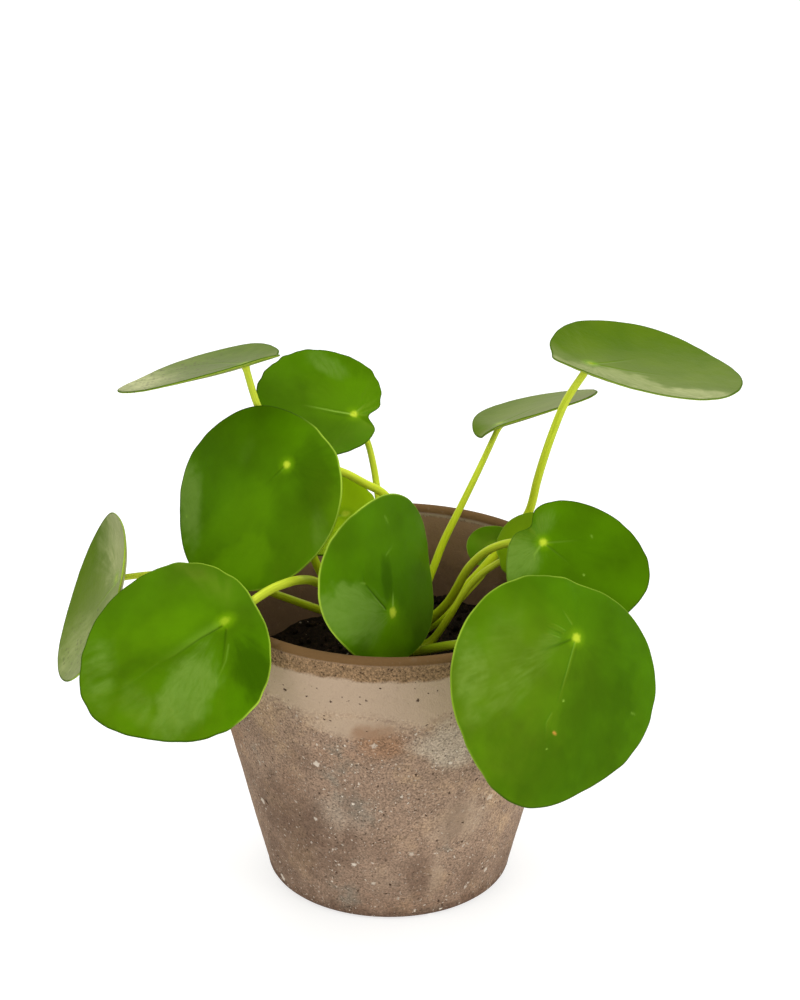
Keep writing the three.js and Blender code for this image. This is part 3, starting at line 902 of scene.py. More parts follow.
    def zone_masks(self, turn: np.ndarray, height: np.ndarray, inner: np.ndarray, swell: np.ndarray,
                   wear: np.ndarray, lip: np.ndarray) -> Masks:
        """Works out how far each point lies in the pale collar, the stains and painted shade, the inside and
        the painted shade deep inside.

        Args:
            turn: each point's angle about the pot.
            height: its height.
            inner: 1 inside the pot and 0 outside.
            swell: broad unevenness.
            wear: finer unevenness.
            lip: 1 on the lip's round.

        Returns:
            Masks by zone name.
        """
        heading = np.degrees((turn + math.pi / 2 + math.pi) % math.tau - math.pi)
        masks = {}
        for kind, stains in STAINS.items():
            masks[kind.value] = np.zeros_like(height)
            for stain in stains:
                away = (heading - stain.heading + 180) % 360 - 180
                reach = np.hypot(away / stain.wide, (height - stain.height) / stain.tall)
                reach += 0.5 * swell + 0.2 * wear
                patch = stain.strength * (1 - soft_step(reach, 0.3, 1.3))
                masks[kind.value] = np.maximum(masks[kind.value], patch)
        # Lime covers the collar down to a ragged edge, and painted shade darkens the foot and the wall above
        # it.
        edge = self.collar_foot + 1 - 5 * swell - 2 * wear
        collar = 0.95 * soft_step(height, edge - 6, edge + 5)
        masks["bloom"] = np.maximum(masks["bloom"], collar)
        foot = 0.78 * (1 - soft_step(height + 3 * wear, 0, 8))
        foot += 0.35 * (1 - soft_step(height + 6 * swell, 12, 44))
        masks["stain"] = np.maximum(masks["stain"], np.minimum(foot, 1))
        masks = {name: values * (1 - inner) * (1 - lip) for name, values in masks.items()}
        masks["inside"] = inner * (1 - lip)
        # Painted shade deep inside the pot, fading out towards the top.
        masks["deep_shade"] = inner * (1 - soft_step(height, 92, 118)) * 0.9
        return masks


@dataclass
class Soil:
    """The soil: fills the pot to an uneven crumbly top that lies higher on the right."""

    finish: PottingSoil = field(default_factory=PottingSoil)
    level: float = 88
    rise: float = 0.1
    bump: float = 1.3
    gap: float = 0.3
    clod_mm: float = 7
    clod_height: float = 0.9
    crumb_mm: float = 2.4
    crumb_height: float = 0.8
    rings: int = 62
    sides: int = 260
    # Loose crumbs on the top: how many, the smallest radius, and how much larger the largest is.
    crumbs: int = 520
    crumb_radius: float = 0.5
    crumb_range: float = 1.3
    seed: int = 11

    def top(self, x: np.ndarray, y: np.ndarray) -> np.ndarray:
        """Gives the packed soil's height at a place."""
        # Two crossing waves, about 30 mm long, keep the top from being flat.
        bumps = np.sin(x * 0.21 + 1.1) * np.cos(y * 0.17) + 0.6 * np.sin(x * 0.09 - y * 0.26 + 2)
        return self.level + self.rise * x + self.bump * bumps

    def build(self, pot: Pot) -> bpy.types.Object:
        """Builds the soil inside a pot.

        Args:
            pot: the pot that it fills.

        Returns:
            The soil, with its loose crumbs.
        """
        inner_foot = float(pot.outer_radius(pot.floor)) - pot.wall
        inner_top = pot.collar_radius - pot.wall
        slope = (inner_top - inner_foot) / (pot.collar_foot - pot.floor)
        share = np.repeat(np.linspace(0.012, 1, self.rings), self.sides)
        turn = np.tile(np.linspace(0, math.tau, self.sides, endpoint=False), self.rings)
        wide = inner_foot + slope * (self.level - pot.floor) - self.gap
        out = wide * share
        flat = np.stack([out * np.cos(turn), out * np.sin(turn), np.zeros_like(turn)], axis=-1)
        height = self.top(flat[:, 0], flat[:, 1])
        height += self.clod_height * rough(flat, self.clod_mm, 5.0, 2)
        height += self.crumb_height * np.abs(rough(flat, self.crumb_mm, 1.3, 3))
        reach = (inner_foot + slope * (height - pot.floor) - self.gap) * share
        points = np.stack([reach * np.cos(turn), reach * np.sin(turn), height], axis=-1)
        bottom = pot.floor + self.gap
        side = turn[:self.sides]
        skirt = np.vstack([np.stack([radius * np.cos(side), radius * np.sin(side),
                                     np.full(self.sides, bottom)], axis=-1)
                           for radius in (inner_foot - self.gap, inner_foot * 0.5)])
        count = len(points) + len(skirt)
        caps = np.array([[0, 0, float(height[0])], [0, 0, bottom]])
        faces = ring_quads(self.rings + 2, self.sides, flipped=True)
        faces += fan(count, 0, self.sides)
        faces += fan(count + 1, (self.rings + 1) * self.sides, self.sides, flipped=True)
        body = np.vstack([points, skirt, caps])
        crumb_points, crumb_faces = self.loose_crumbs(len(body), wide)
        return make_piece("potting_soil", np.vstack([body, crumb_points]), faces + crumb_faces,
                          self.finish.material(), "soil")

    def loose_crumbs(self, first: int, wide: float) -> tuple[np.ndarray, list[list[int]]]:
        """Scatters small uneven crumbs that sit half sunk in the top.

        Args:
            first: the number of the first crumb's first point.
            wide: the radius of the soil's top.

        Returns:
            The crumbs' points and faces.
        """
        draw = np.random.default_rng(self.seed)
        golden = (1 + math.sqrt(5)) / 2
        corners = np.array([(-1, golden, 0), (1, golden, 0), (-1, -golden, 0), (1, -golden, 0),
                            (0, -1, golden), (0, 1, golden), (0, -1, -golden), (0, 1, -golden),
                            (golden, 0, -1), (golden, 0, 1), (-golden, 0, -1), (-golden, 0, 1)])
        corners /= np.linalg.norm(corners[0])
        sides = [(0, 11, 5), (0, 5, 1), (0, 1, 7), (0, 7, 10), (0, 10, 11), (1, 5, 9), (5, 11, 4),
                 (11, 10, 2), (10, 7, 6), (7, 1, 8), (3, 9, 4), (3, 4, 2), (3, 2, 6), (3, 6, 8),
                 (3, 8, 9), (4, 9, 5), (2, 4, 11), (6, 2, 10), (8, 6, 7), (9, 8, 1)]
        edge = 3
        points, faces = [], []
        for index in range(self.crumbs):
            radius = (wide - edge) * math.sqrt(draw.random())
            turn = draw.random() * math.tau
            x, y = radius * math.cos(turn), radius * math.sin(turn)
            # Most crumbs are small, and each is bent out of round.
            size = self.crumb_radius + self.crumb_range * draw.random() ** 2.5
            uneven = corners * (size * (0.75 + 0.5 * draw.random((12, 1))))
            uneven = uneven * (0.7 + 0.6 * draw.random((1, 3)))
            ground = float(self.top(np.array(x), np.array(y)))
            points.append(uneven + [x, y, ground + 0.4 + 0.3 * size])
            start = first + index * len(corners)
            faces += [[start + corner for corner in side] for side in sides]
        return np.vstack(points), faces


@dataclass
class Stem:
    """The short trunk that stands in the soil, with faint rings where old leaves fell."""

    finish: YoungBark = field(default_factory=YoungBark)
    x: float = 8
    y: float = 6
    foot: float = 70
    top: float = 119
    radius: float = 5.2
    top_radius: float = 4.4
    ring_spacing: float = 4.9
    ring_swell: float = 0.35
    # The top is rounded over this height, and the bark is uneven by this much.
    dome: float = 2.6
    uneven: float = 0.25
    uneven_mm: float = 3
    sides: int = 48
    rows: int = 90

    def build(self) -> bpy.types.Object:
        """Builds the trunk with its rings and its rounded top.

        Returns:
            The trunk.
        """
        share = np.linspace(0, 1, self.rows)
        height = self.foot + (self.top - self.foot) * share
        rings = 0.5 - 0.5 * np.cos(math.tau * (height - self.foot) / (2 * self.ring_spacing))
        radius = self.radius + (self.top_radius - self.radius) * share + self.ring_swell * rings**3
        dome = np.clip((self.top - height) / self.dome, 0, 1)
        # The dome stops just short of a point, and a small fan closes it.
        radius = radius * np.sqrt(1 - (1 - dome) ** 2 * 0.97)
        turn = np.tile(np.linspace(0, math.tau, self.sides, endpoint=False), self.rows)
        radius = np.repeat(radius, self.sides)
        height = np.repeat(height, self.sides)
        points = np.stack([radius * np.cos(turn), radius * np.sin(turn), height], axis=-1)
        radius = radius + self.uneven * rough(points, self.uneven_mm, 6.6)
        points = np.stack([self.x + radius * np.cos(turn), self.y + radius * np.sin(turn), height], axis=-1)
        caps = np.array([[self.x, self.y, self.foot], [self.x, self.y, self.top]])
        faces = ring_quads(self.rows, self.sides)
        faces += fan(len(points), 0, self.sides, flipped=True)
        faces += fan(len(points) + 1, (self.rows - 1) * self.sides, self.sides)
        return make_piece("stem_trunk", np.vstack([points, caps]), faces, self.finish.material(),
                          "stem")


@dataclass(frozen=True)
class Mark:
    """A vein, crease or fleck on a blade, through places in mm along the leaf and to its side.

    Its pale share draws pale veins and painted highlight on the flanks of ridges and wrinkles; its shade share
    draws painted shade in creases and wrinkles, and a few dark dots.
    """

    places: tuple[Place, ...]
    width: float = 0.6
    depth: float = 0.1
    pale: float = 0.4
    shade: float = 0.0
    fleck: float = 0.0
    side: float = 0.0


class Tone(Enum):
    """What a patch on a blade does: pale painted glare, painted light, painted shadow or dark specks."""

    PAINTED_GLARE = "painted_glare"
    GLOW = "painted_light"
    PAINTED_SHADOW = "painted_shadow"
    SPECKS = "specks"


@dataclass(frozen=True)
class Patch:
    """A soft ragged patch on a blade's upper side, streaked outward from the stalk."""

    kind: Tone
    at: Place
    long: float
    wide: float
    turn: float = 0
    strength: float = 1.0
    grain: float = 1.0
    inner: float = 0.35


@dataclass(frozen=True)
class Rim:
    """How the painted highlight along a blade's rim shows: its strength, its middle and its spread in degrees.
    """

    strength: float = 0.5
    middle: float = 0
    spread: float = 400


@dataclass(frozen=True)
class Spot:
    """The pale spot over the stalk: how many times its usual length, width and brightness it has."""

    long: float = 1
    wide: float = 1
    bright: float = 1


@dataclass(frozen=True)
class LeafForm:
    """One leaf's place, outline and course of its stalk, in mm and degrees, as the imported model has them."""

    name: str
    at: Point
    face: float
    tilt: float
    spin: float
    middle: float
    dish: float
    saddle: float
    notch: float
    wave: float
    radii: tuple[float, ...]
    leaves_stem: float
    stalk: tuple[float, float]
    path: tuple[Point, ...]
    marks: tuple[Mark, ...] = ()
    patches: tuple[Patch, ...] = ()
    age: LeafAge = LeafAge.MATURE
    buckle: float = 0.3
    scallop: float = 0.15
    rim: Rim = Rim()
    spot: Spot = Spot()
    rim_wide: float = 0.1
    # How much painted shade darkens the leaf's stalk.
    ripe: float = 0

    def axes(self) -> tuple[np.ndarray, np.ndarray, np.ndarray]:
        """Gives the directions to the leaf's tip, to its side and up from its upper face.

        Returns:
            Three unit directions.
        """
        heading, lean, turn = (math.radians(angle) for angle in (self.face, self.tilt, self.spin))
        up = np.array([math.sin(lean) * math.cos(heading), math.sin(lean) * math.sin(heading),
                       math.cos(lean)])
        downhill = np.array([math.cos(lean) * math.cos(heading), math.cos(lean) * math.sin(heading),
                             -math.sin(lean)])
        tip = math.cos(turn) * downhill + math.sin(turn) * np.cross(up, downhill)
        return tip, np.cross(up, tip), up

    def outline(self, angle: np.ndarray) -> np.ndarray:
        """Gives the outline's radius: the smoothest wave through the given radii, less the notch.

        Args:
            angle: angles about the outline's middle, from the tip.

        Returns:
            The radius at each angle.
        """
        count = len(self.radii)
        total = np.zeros_like(angle)
        for index, radius in enumerate(self.radii):
            half = (angle - math.tau * index / count) / 2
            on_radius = np.abs(np.sin(half)) < 1e-9
            tangent = np.where(on_radius, 1.0, np.tan(half))
            total += radius * np.where(on_radius, 1.0, np.sin(count * half) / (count * tangent))
        seed = int(self.name)
        # Waves of 17 and 29 scallops to a turn, which swell and fade three times on the way round.
        ripple = 0.6 * np.sin(17 * angle + seed) + 0.4 * np.sin(29 * angle + 2.3 * seed)
        total += self.scallop * ripple * (0.6 + 0.4 * np.sin(3 * angle + 1.7 * seed))
        return total - self.notch * np.exp(-(((angle - math.pi) / NOTCH_WIDTH) ** 2))


@dataclass
class Blade:
    """A leaf blade: a thin dished disc with a rounded rim, veins and slight buckles."""

    form: LeafForm
    thickness: float = 0.8
    edge_round: float = 0.4
    spacing: float = 0.72
    ring_spacing: float = 0.56
    under_spacing: float = 3.2
    coarser: float = 1.4
    # Streaks in the patches: how many fit on a radian, how long one is, and how much finer the thin ones are.
    streaks: float = 9
    streak_mm: float = 22
    finer: Point = (2.2, 2.2, 3.2)
    cloud_mm: float = 6
    # Broad buckles between the veins, and the finer wrinkles over them with their height.
    buckle_mm: float = 17
    wrinkle_mm: float = 4.5
    wrinkle_height: float = 0.06
    # The patterns of neighbouring leaves are taken this far apart, so that no two leaves are alike.
    cloud_apart: float = 50
    buckle_apart: float = 40
    # Veins flatten out this close to the rim, and the pale line's ends are this soft in degrees.
    veins_stop: float = 3
    rim_soft: float = 20

    def places(self, angle: np.ndarray, share: np.ndarray) -> tuple[np.ndarray, np.ndarray, np.ndarray]:
        """Gives places on the blade's middle surface, in the leaf's own directions.

        Args:
            angle: angles about the outline's middle.
            share: how far out each lies from the stalk's place, 1 at the rim.

        Returns:
            Millimetres along the leaf, sideways and up.
        """
        form = self.form
        radius = form.outline(angle)
        along = form.middle + radius * np.cos(angle)
        sideways = radius * np.sin(angle)
        bearing = np.arctan2(sideways, along)
        wave = form.wave * np.sin(RIM_WAVES * angle + int(form.name)) * share**3
        rise = (form.dish + form.saddle * np.cos(2 * bearing)) * share**2 + wave
        return along * share, sideways * share, rise

    def marks(self, along: np.ndarray, sideways: np.ndarray) -> tuple[np.ndarray, Masks]:
        """Works out what the marks and patches do to the upper side.

        Args:
            along: places along the leaf.
            sideways: places to its side.

        Returns:
            Depth in mm, and masks from 0 to 1 by the name that the material reads.
        """
        depth = np.zeros_like(along)
        drawn = ("pale", "shade", "fleck")
        masks = {name: np.zeros_like(along) for name in (*drawn, *(tone.value for tone in Tone))}
        places = np.stack([along, sideways], axis=-1)
        for mark in self.form.marks:
            line = self.line(mark, places)
            depth += mark.depth * line
            for name in drawn:
                masks[name] = np.maximum(masks[name], getattr(mark, name) * line)
        if self.form.patches:
            self.lay_patches(along, sideways, masks)
        return depth, masks

    def line(self, mark: Mark, places: np.ndarray) -> np.ndarray:
        """Draws a mark's line, soft on both sides unless one is sharp, and fading towards its far end.

        Args:
            mark: the mark.
            places: where to work it out.

        Returns:
            How strongly it shows at each place.
        """
        nearest = np.full(len(places), np.inf)
        fade = np.ones(len(places))
        corners = np.array(mark.places)
        steps = np.diff(corners, axis=0)
        lengths = np.linalg.norm(steps, axis=1)
        passed = np.concatenate([[0], np.cumsum(lengths)]) / lengths.sum()
        sharper = 4
        for index, (corner, step) in enumerate(zip(corners, steps)):
            share = np.clip(((places - corner) @ step) / (step @ step), 0, 1)
            away = np.linalg.norm(places - corner - share[:, None] * step, axis=1)
            turned = step[0] * (places[:, 1] - corner[1]) - step[1] * (places[:, 0] - corner[0])
            away = away * np.where(turned * mark.side < 0, sharper, 1)
            closer = away < nearest
            nearest = np.where(closer, away, nearest)
            here = passed[index] + share * (passed[index + 1] - passed[index])
            fade = np.where(closer, 1 - here**2, fade)
        return np.exp(-((nearest / mark.width) ** 2)) * fade

    def lay_patches(self, along: np.ndarray, sideways: np.ndarray, masks: Masks) -> None:
        """Adds the patches to the masks.

        Args:
            along: places along the leaf.
            sideways: places to its side.
            masks: the masks by name, which it changes.
        """
        bearing = np.arctan2(sideways, along)
        number = int(self.form.name)
        ray = np.stack([self.streaks * np.cos(bearing), self.streaks * np.sin(bearing),
                        np.hypot(along, sideways) / self.streak_mm + number], axis=-1)
        flat = np.stack([along, sideways, np.full_like(along, self.cloud_apart * number)], axis=-1)
        streaks = rough(ray, 1.0, 3.0, 3)
        fine = rough(ray * self.finer, 1.0, 6.0, 2)
        cloud = rough(flat, self.cloud_mm, 4.0, 3)
        for patch in self.form.patches:
            turn = math.radians(patch.turn)
            east, north = along - patch.at[0], sideways - patch.at[1]
            outward = (east * math.cos(turn) + north * math.sin(turn)) / patch.long
            across = (north * math.cos(turn) - east * math.sin(turn)) / patch.wide
            # Clouds and streaks make the patch's edge ragged and its face uneven.
            reach = np.hypot(outward, across) + 0.18 * cloud + 0.12 * streaks
            texture = 0.85 + patch.grain * (0.2 * streaks + 0.25 * fine)
            value = patch.strength * (1 - soft_step(reach, patch.inner, 1.15)) * texture
            masks[patch.kind.value] = np.maximum(masks[patch.kind.value], value)

    def build(self, finish: bpy.types.Material) -> bpy.types.Object:
        """Builds the blade, finer above than below.

        Args:
            finish: the leaf's material.

        Returns:
            The blade, whose rim and stalk distances are kept for the material.
        """
        form = self.form
        widest = max(form.radii)
        scale = 1.0 if form.age is LeafAge.MATURE else self.coarser
        sides = max(120, round(math.tau * widest / (self.spacing * scale)))
        even = np.linspace(0, math.tau, sides, endpoint=False)
        # The points lie closer together at the notch.
        angle = even + 0.3 * np.sin(even)
        along, sideways, _ = self.places(angle, np.ones(sides))
        reach = np.hypot(along, sideways)
        half = self.thickness / 2
        sheets = []
        for spacing, sign in ((self.ring_spacing * scale, 1), (self.under_spacing, -1)):
            rings = max(12, round((widest + abs(form.middle)) / spacing))
            insets = [np.maximum((1 - share) * reach, self.edge_round)
                      for share in np.linspace(0, 1, rings + 1)]
            sheet = [self.layer(angle[:1], reach[:1], insets[0][:1], sign * half)]
            sheet += [self.layer(angle, reach, inset, sign * half) for inset in insets[1:]]
            for turn in np.radians((30, 60)):
                inset = np.full(sides, self.edge_round * (1 - math.sin(turn)))
                sheet.append(self.layer(angle, reach, inset, sign * half * math.cos(turn)))
            sheets.append(sheet)
        edge = self.layer(angle, reach, np.zeros(sides), 0.0)
        stack = [*sheets[0], edge, *sheets[1][::-1]]
        local = np.vstack([places for places, _ in stack])
        masks = {name: np.concatenate([part[name] for _, part in stack]) for name in edge[1]}
        tip, side, up = form.axes()
        points = np.array(form.at) + local[:, :1] * tip + local[:, 1:2] * side + local[:, 2:] * up
        upper = 1 + len(sheets[0]) * sides
        masks["under"] = (np.arange(len(points)) >= upper).astype(float)
        rings = len(stack) - 2
        faces = fan(0, 1, sides)
        faces += ring_quads(rings, sides, first=1, flipped=True)
        faces += fan(len(points) - 1, 1 + (rings - 1) * sides, sides, flipped=True)
        return make_piece(f"blade_{form.name}", points, faces, finish, f"leaf_{form.name}", masks)

    def layer(self, angle: np.ndarray, reach: np.ndarray, inset: np.ndarray,
              lift: float) -> tuple[np.ndarray, Masks]:
        """Places one ring of points.

        Args:
            angle: the ring's angles.
            reach: the rim's distance from the stalk's place at each angle.
            inset: how far inside the rim each point lies.
            lift: how far above the middle surface they lie.

        Returns:
            Places in the leaf's own directions, and the masks there.
        """
        share = 1 - inset / reach
        along, sideways, rise = self.places(angle, share)
        depth, masks = self.marks(along, sideways)
        number = int(self.form.name)
        flat = np.stack([along, sideways, np.full_like(along, self.buckle_apart * number)], axis=-1)
        buckle = self.form.buckle * share * rough(flat, self.buckle_mm, 1.0, 2)
        buckle += self.wrinkle_height * share * rough(flat, self.wrinkle_mm, 8.0, 2)
        height = rise + lift + buckle - depth * soft_step(inset, 0, self.veins_stop)
        spot, rim = self.form.spot, self.form.rim
        masks["along"] = along / spot.long
        masks["sideways"] = sideways / spot.wide
        masks["spot"] = np.full_like(along, spot.bright)
        # The pale line is a painted highlight on the part of the rim that faces the light.
        turned = np.abs((np.degrees(angle) - rim.middle + 180) % 360 - 180)
        half = 0.5 * rim.spread
        lit = rim.strength * (1 - soft_step(turned, half - self.rim_soft, half + self.rim_soft))
        near = 1 - soft_step(inset, 0.0, self.edge_round + self.form.rim_wide)
        # The line swells and fades on its way round, so that it doesn't look drawn.
        masks["rim"] = lit * near * (1 + 0.3 * np.sin(3 * angle + number) * np.sin(7 * angle + 2 * number))
        # Where the painted highlight is missing, the turned edge gets painted shade, a darker green.
        masks["edge"] = (1 - lit) * (1 - soft_step(inset, 0.15, self.edge_round + 0.45))
        return np.stack([along, sideways, height], axis=-1), masks


@dataclass
class Stalk:
    """A leaf's stalk: a smooth tapering rod that swells where it joins the stem and the blade."""

    form: LeafForm
    stem: Stem
    sides: int = 18
    step: float = 1.6
    join: float = 7
    sunk: float = 0.05
    # How much the stalk swells at the stem and under the blade, and over what length.
    foot_swell: float = 0.9
    foot_swell_long: float = 5
    tip_swell: float = 0.7
    tip_swell_long: float = 1.6
    # Its section is this much flatter than round.
    flatness: float = 0.93

    def course(self) -> np.ndarray:
        """Lists places along the smooth curve from the stem's middle to the blade.

        Returns:
            The places in mm, in order.
        """
        _, _, up = self.form.axes()
        start = (self.stem.x, self.stem.y, self.form.leaves_stem)
        end = np.array(self.form.at) + 0.1 * up
        knots = np.array([start, *self.form.path, end], dtype=float)
        knots = np.vstack([2 * knots[0] - knots[1], knots, 2 * knots[-1] - knots[-2]])
        places = []
        for before, here, there, after in zip(knots, knots[1:], knots[2:], knots[3:]):
            spans = [math.sqrt(np.linalg.norm(b - a))
                     for a, b in ((before, here), (here, there), (there, after))]
            leaving = (here - before) / spans[0] - (there - before) / (spans[0] + spans[1])
            leaving = (leaving + (there - here) / spans[1]) * spans[1]
            arriving = (there - here) / spans[1] - (after - here) / (spans[1] + spans[2])
            arriving = (arriving + (after - there) / spans[2]) * spans[1]
            count = max(2, round(np.linalg.norm(there - here) / self.step))
            for share in np.arange(count) / count:
                places.append(here + leaving * share
                              + (3 * (there - here) - 2 * leaving - arriving) * share**2
                              + (2 * (here - there) + leaving + arriving) * share**3)
        places.append(knots[-2])
        return np.array(places)

    def build(self, finish: bpy.types.Material) -> bpy.types.Object:
        """Builds the stalk.

        Args:
            finish: the stalk's material.

        Returns:
            The stalk.
        """
        course = self.course()
        ahead = np.gradient(course, axis=0)
        ahead /= np.linalg.norm(ahead, axis=1, keepdims=True)
        passed = np.concatenate([[0], np.cumsum(np.linalg.norm(np.diff(course, axis=0), axis=1))])
        length = passed[-1]
        foot, tip = self.form.stalk
        taper = foot + (tip - foot) * (passed / length)
        foot_swell = self.foot_swell * np.exp(-(((passed - self.stem.radius) / self.foot_swell_long) ** 2))
        tip_swell = self.tip_swell * np.exp(-(((length - passed) / self.tip_swell_long) ** 2))
        radius = taper + foot_swell + tip_swell
        normal = np.cross(ahead[0], (0, 0, 1))
        points = []
        turn = np.linspace(0, math.tau, self.sides, endpoint=False)
        for place, heading, size in zip(course, ahead, radius):
            normal = normal - heading * (normal @ heading)
            normal = normal / np.linalg.norm(normal)
            across = np.cross(heading, normal)
            ring = size * (np.cos(turn)[:, None] * normal + self.flatness * np.sin(turn)[:, None] * across)
            points.append(place + ring)
        rings = len(course)
        points = np.vstack([*points, course[:1], course[-1:]])
        _, _, up = self.form.axes()
        above = (points - self.form.at) @ up
        close = np.linalg.norm(points - self.form.at, axis=1) < self.join
        points -= np.where(close, np.maximum(above - self.sunk, 0), 0)[:, None] * up
        faces = ring_quads(rings, self.sides)
        faces += fan(len(points) - 2, 0, self.sides, flipped=True)
        faces += fan(len(points) - 1, (rings - 1) * self.sides, self.sides)
        along = np.append(np.repeat(passed / length, self.sides), [0, 1])
        around = np.append(np.abs(np.tile(turn, rings) - math.pi), [0, 0])
        masks = {"along": along, "ripe": np.full(len(points), float(self.form.ripe)), "around": around}
        name = self.form.name
        return make_piece(f"petiole_{name}", points, faces, finish, f"stalk_{name}", masks)


@dataclass
class Studio:
    """The plain pale floor, the soft lights and the camera at the photograph's viewing angle."""

    aim: Point = (3.7, 0.0, 162.2)
    distance: float = 1200
    pitch: float = 23.82
    roll: float = 0.4
    lens: float = 109.84
    sensor: float = 36
    sees_to: float = 30000
    floor_half: float = 9000
    floor_glow: float = 0.65
    floor_drop: float = 0.05
    sky: float = 0.68
    lit: Point = (0, 0, 140)

    def build(self) -> None:
        """Builds floor, lights, world and camera."""
        self.lay_floor()
        self.set_camera()
        self.hang_light("top_softbox", (0, 500, 1500), (1400, 1400), 1.8, glossy=False)
        self.hang_light("left_softbox", (-900, -500, 1100), (900, 900), 1.4, glossy=False)
        self.hang_light("right_softbox", (1100, -700, 800), (900, 900), 2.6, glossy=False)
        self.hang_light("front_left_lamp", (-774, -991, 957), (420, 420), 3.0)
        self.hang_light("front_right_lamp", (1170, -914, 349), (450, 450), 2.5)
        self.hang_light("overhead_lamp", (-270, 156, 1607), (350, 350), 4.0)
        self.hang_light("white_backdrop", (0, 1500, 140), (6000, 1800), 0.85, diffuse=False, tint="fff6dc")
        world = bpy.data.worlds.new("pale_studio")
        world.use_nodes = True
        sky = world.node_tree.nodes["Background"].inputs
        sky["Color"].default_value = linear("ffffff")
        sky["Strength"].default_value = self.sky
        world.cycles_visibility.glossy = False
        bpy.context.scene.world = world
        bpy.context.scene.view_settings.view_transform = "Standard"

    def lay_floor(self) -> None:
        """Lays the floor under the pot."""
        half = self.floor_half * MM
        mesh = bpy.data.meshes.new("studio_floor")
        mesh.from_pydata([(-half, -half, 0), (half, -half, 0), (half, half, 0), (-half, half, 0)], [],
                         [(0, 1, 2, 3)])
        sheet, _, shader = start_finish("backlit_white_acrylic")
        values = {"Base Color": linear("bcbcbc"), "Roughness": 1.0, "Specular IOR Level": 0.0,
                  "Emission Color": linear("ffffff"), "Emission Strength": self.floor_glow}
        for name, value in values.items():
            shader.inputs[name].default_value = value
        mesh.materials.append(sheet)
        floor = bpy.data.objects.new("studio_floor", mesh)
        floor.location.z = -self.floor_drop * MM
        floor.visible_glossy = False
        bpy.context.scene.collection.objects.link(floor)

    def hang_light(self, name: str, place: Point, size: tuple[float, float], strength: float,
                   glossy: bool = True, diffuse: bool = True, tint: str = "ffffff") -> None:
        """Hangs a soft light that faces the plant.

        Args:
            name: the light's name.
            place: its place in mm.
            size: its width and height in mm.
            strength: how bright its face is.
            glossy: whether it shows in gloss.
            diffuse: whether it lights matt surfaces.
            tint: its colour.
        """
        lamp = bpy.data.lights.new(name, "AREA")
        lamp.shape = "RECTANGLE"
        lamp.color = linear(tint)[:3]
        lamp.size, lamp.size_y = (length * MM for length in size)
        lamp.energy = strength * math.pi * lamp.size * lamp.size_y
        light = bpy.data.objects.new(name, lamp)
        light.location = Vector(place) * MM
        towards = Vector(self.lit) - Vector(place)
        light.rotation_euler = towards.to_track_quat("-Z", "Y").to_euler()
        light.visible_glossy = glossy
        light.visible_diffuse = diffuse
        bpy.context.scene.collection.objects.link(light)

    def set_camera(self) -> None:
        """Sets the camera."""
        lens = bpy.data.cameras.new("camera")
        lens.lens = self.lens
        lens.sensor_width = self.sensor
        lens.clip_end = self.sees_to * MM
        camera = bpy.data.objects.new("camera", lens)
        down = math.radians(self.pitch)
        back = Vector((0, -math.cos(down), math.sin(down))) * self.distance
        camera.location = (Vector(self.aim) + back) * MM
        level = (-back).to_track_quat("-Z", "Y")
        camera.rotation_mode = "QUATERNION"
        camera.rotation_quaternion = level @ Quaternion((0, 0, 1), math.radians(self.roll))
        bpy.context.scene.collection.objects.link(camera)
        bpy.context.scene.camera = camera


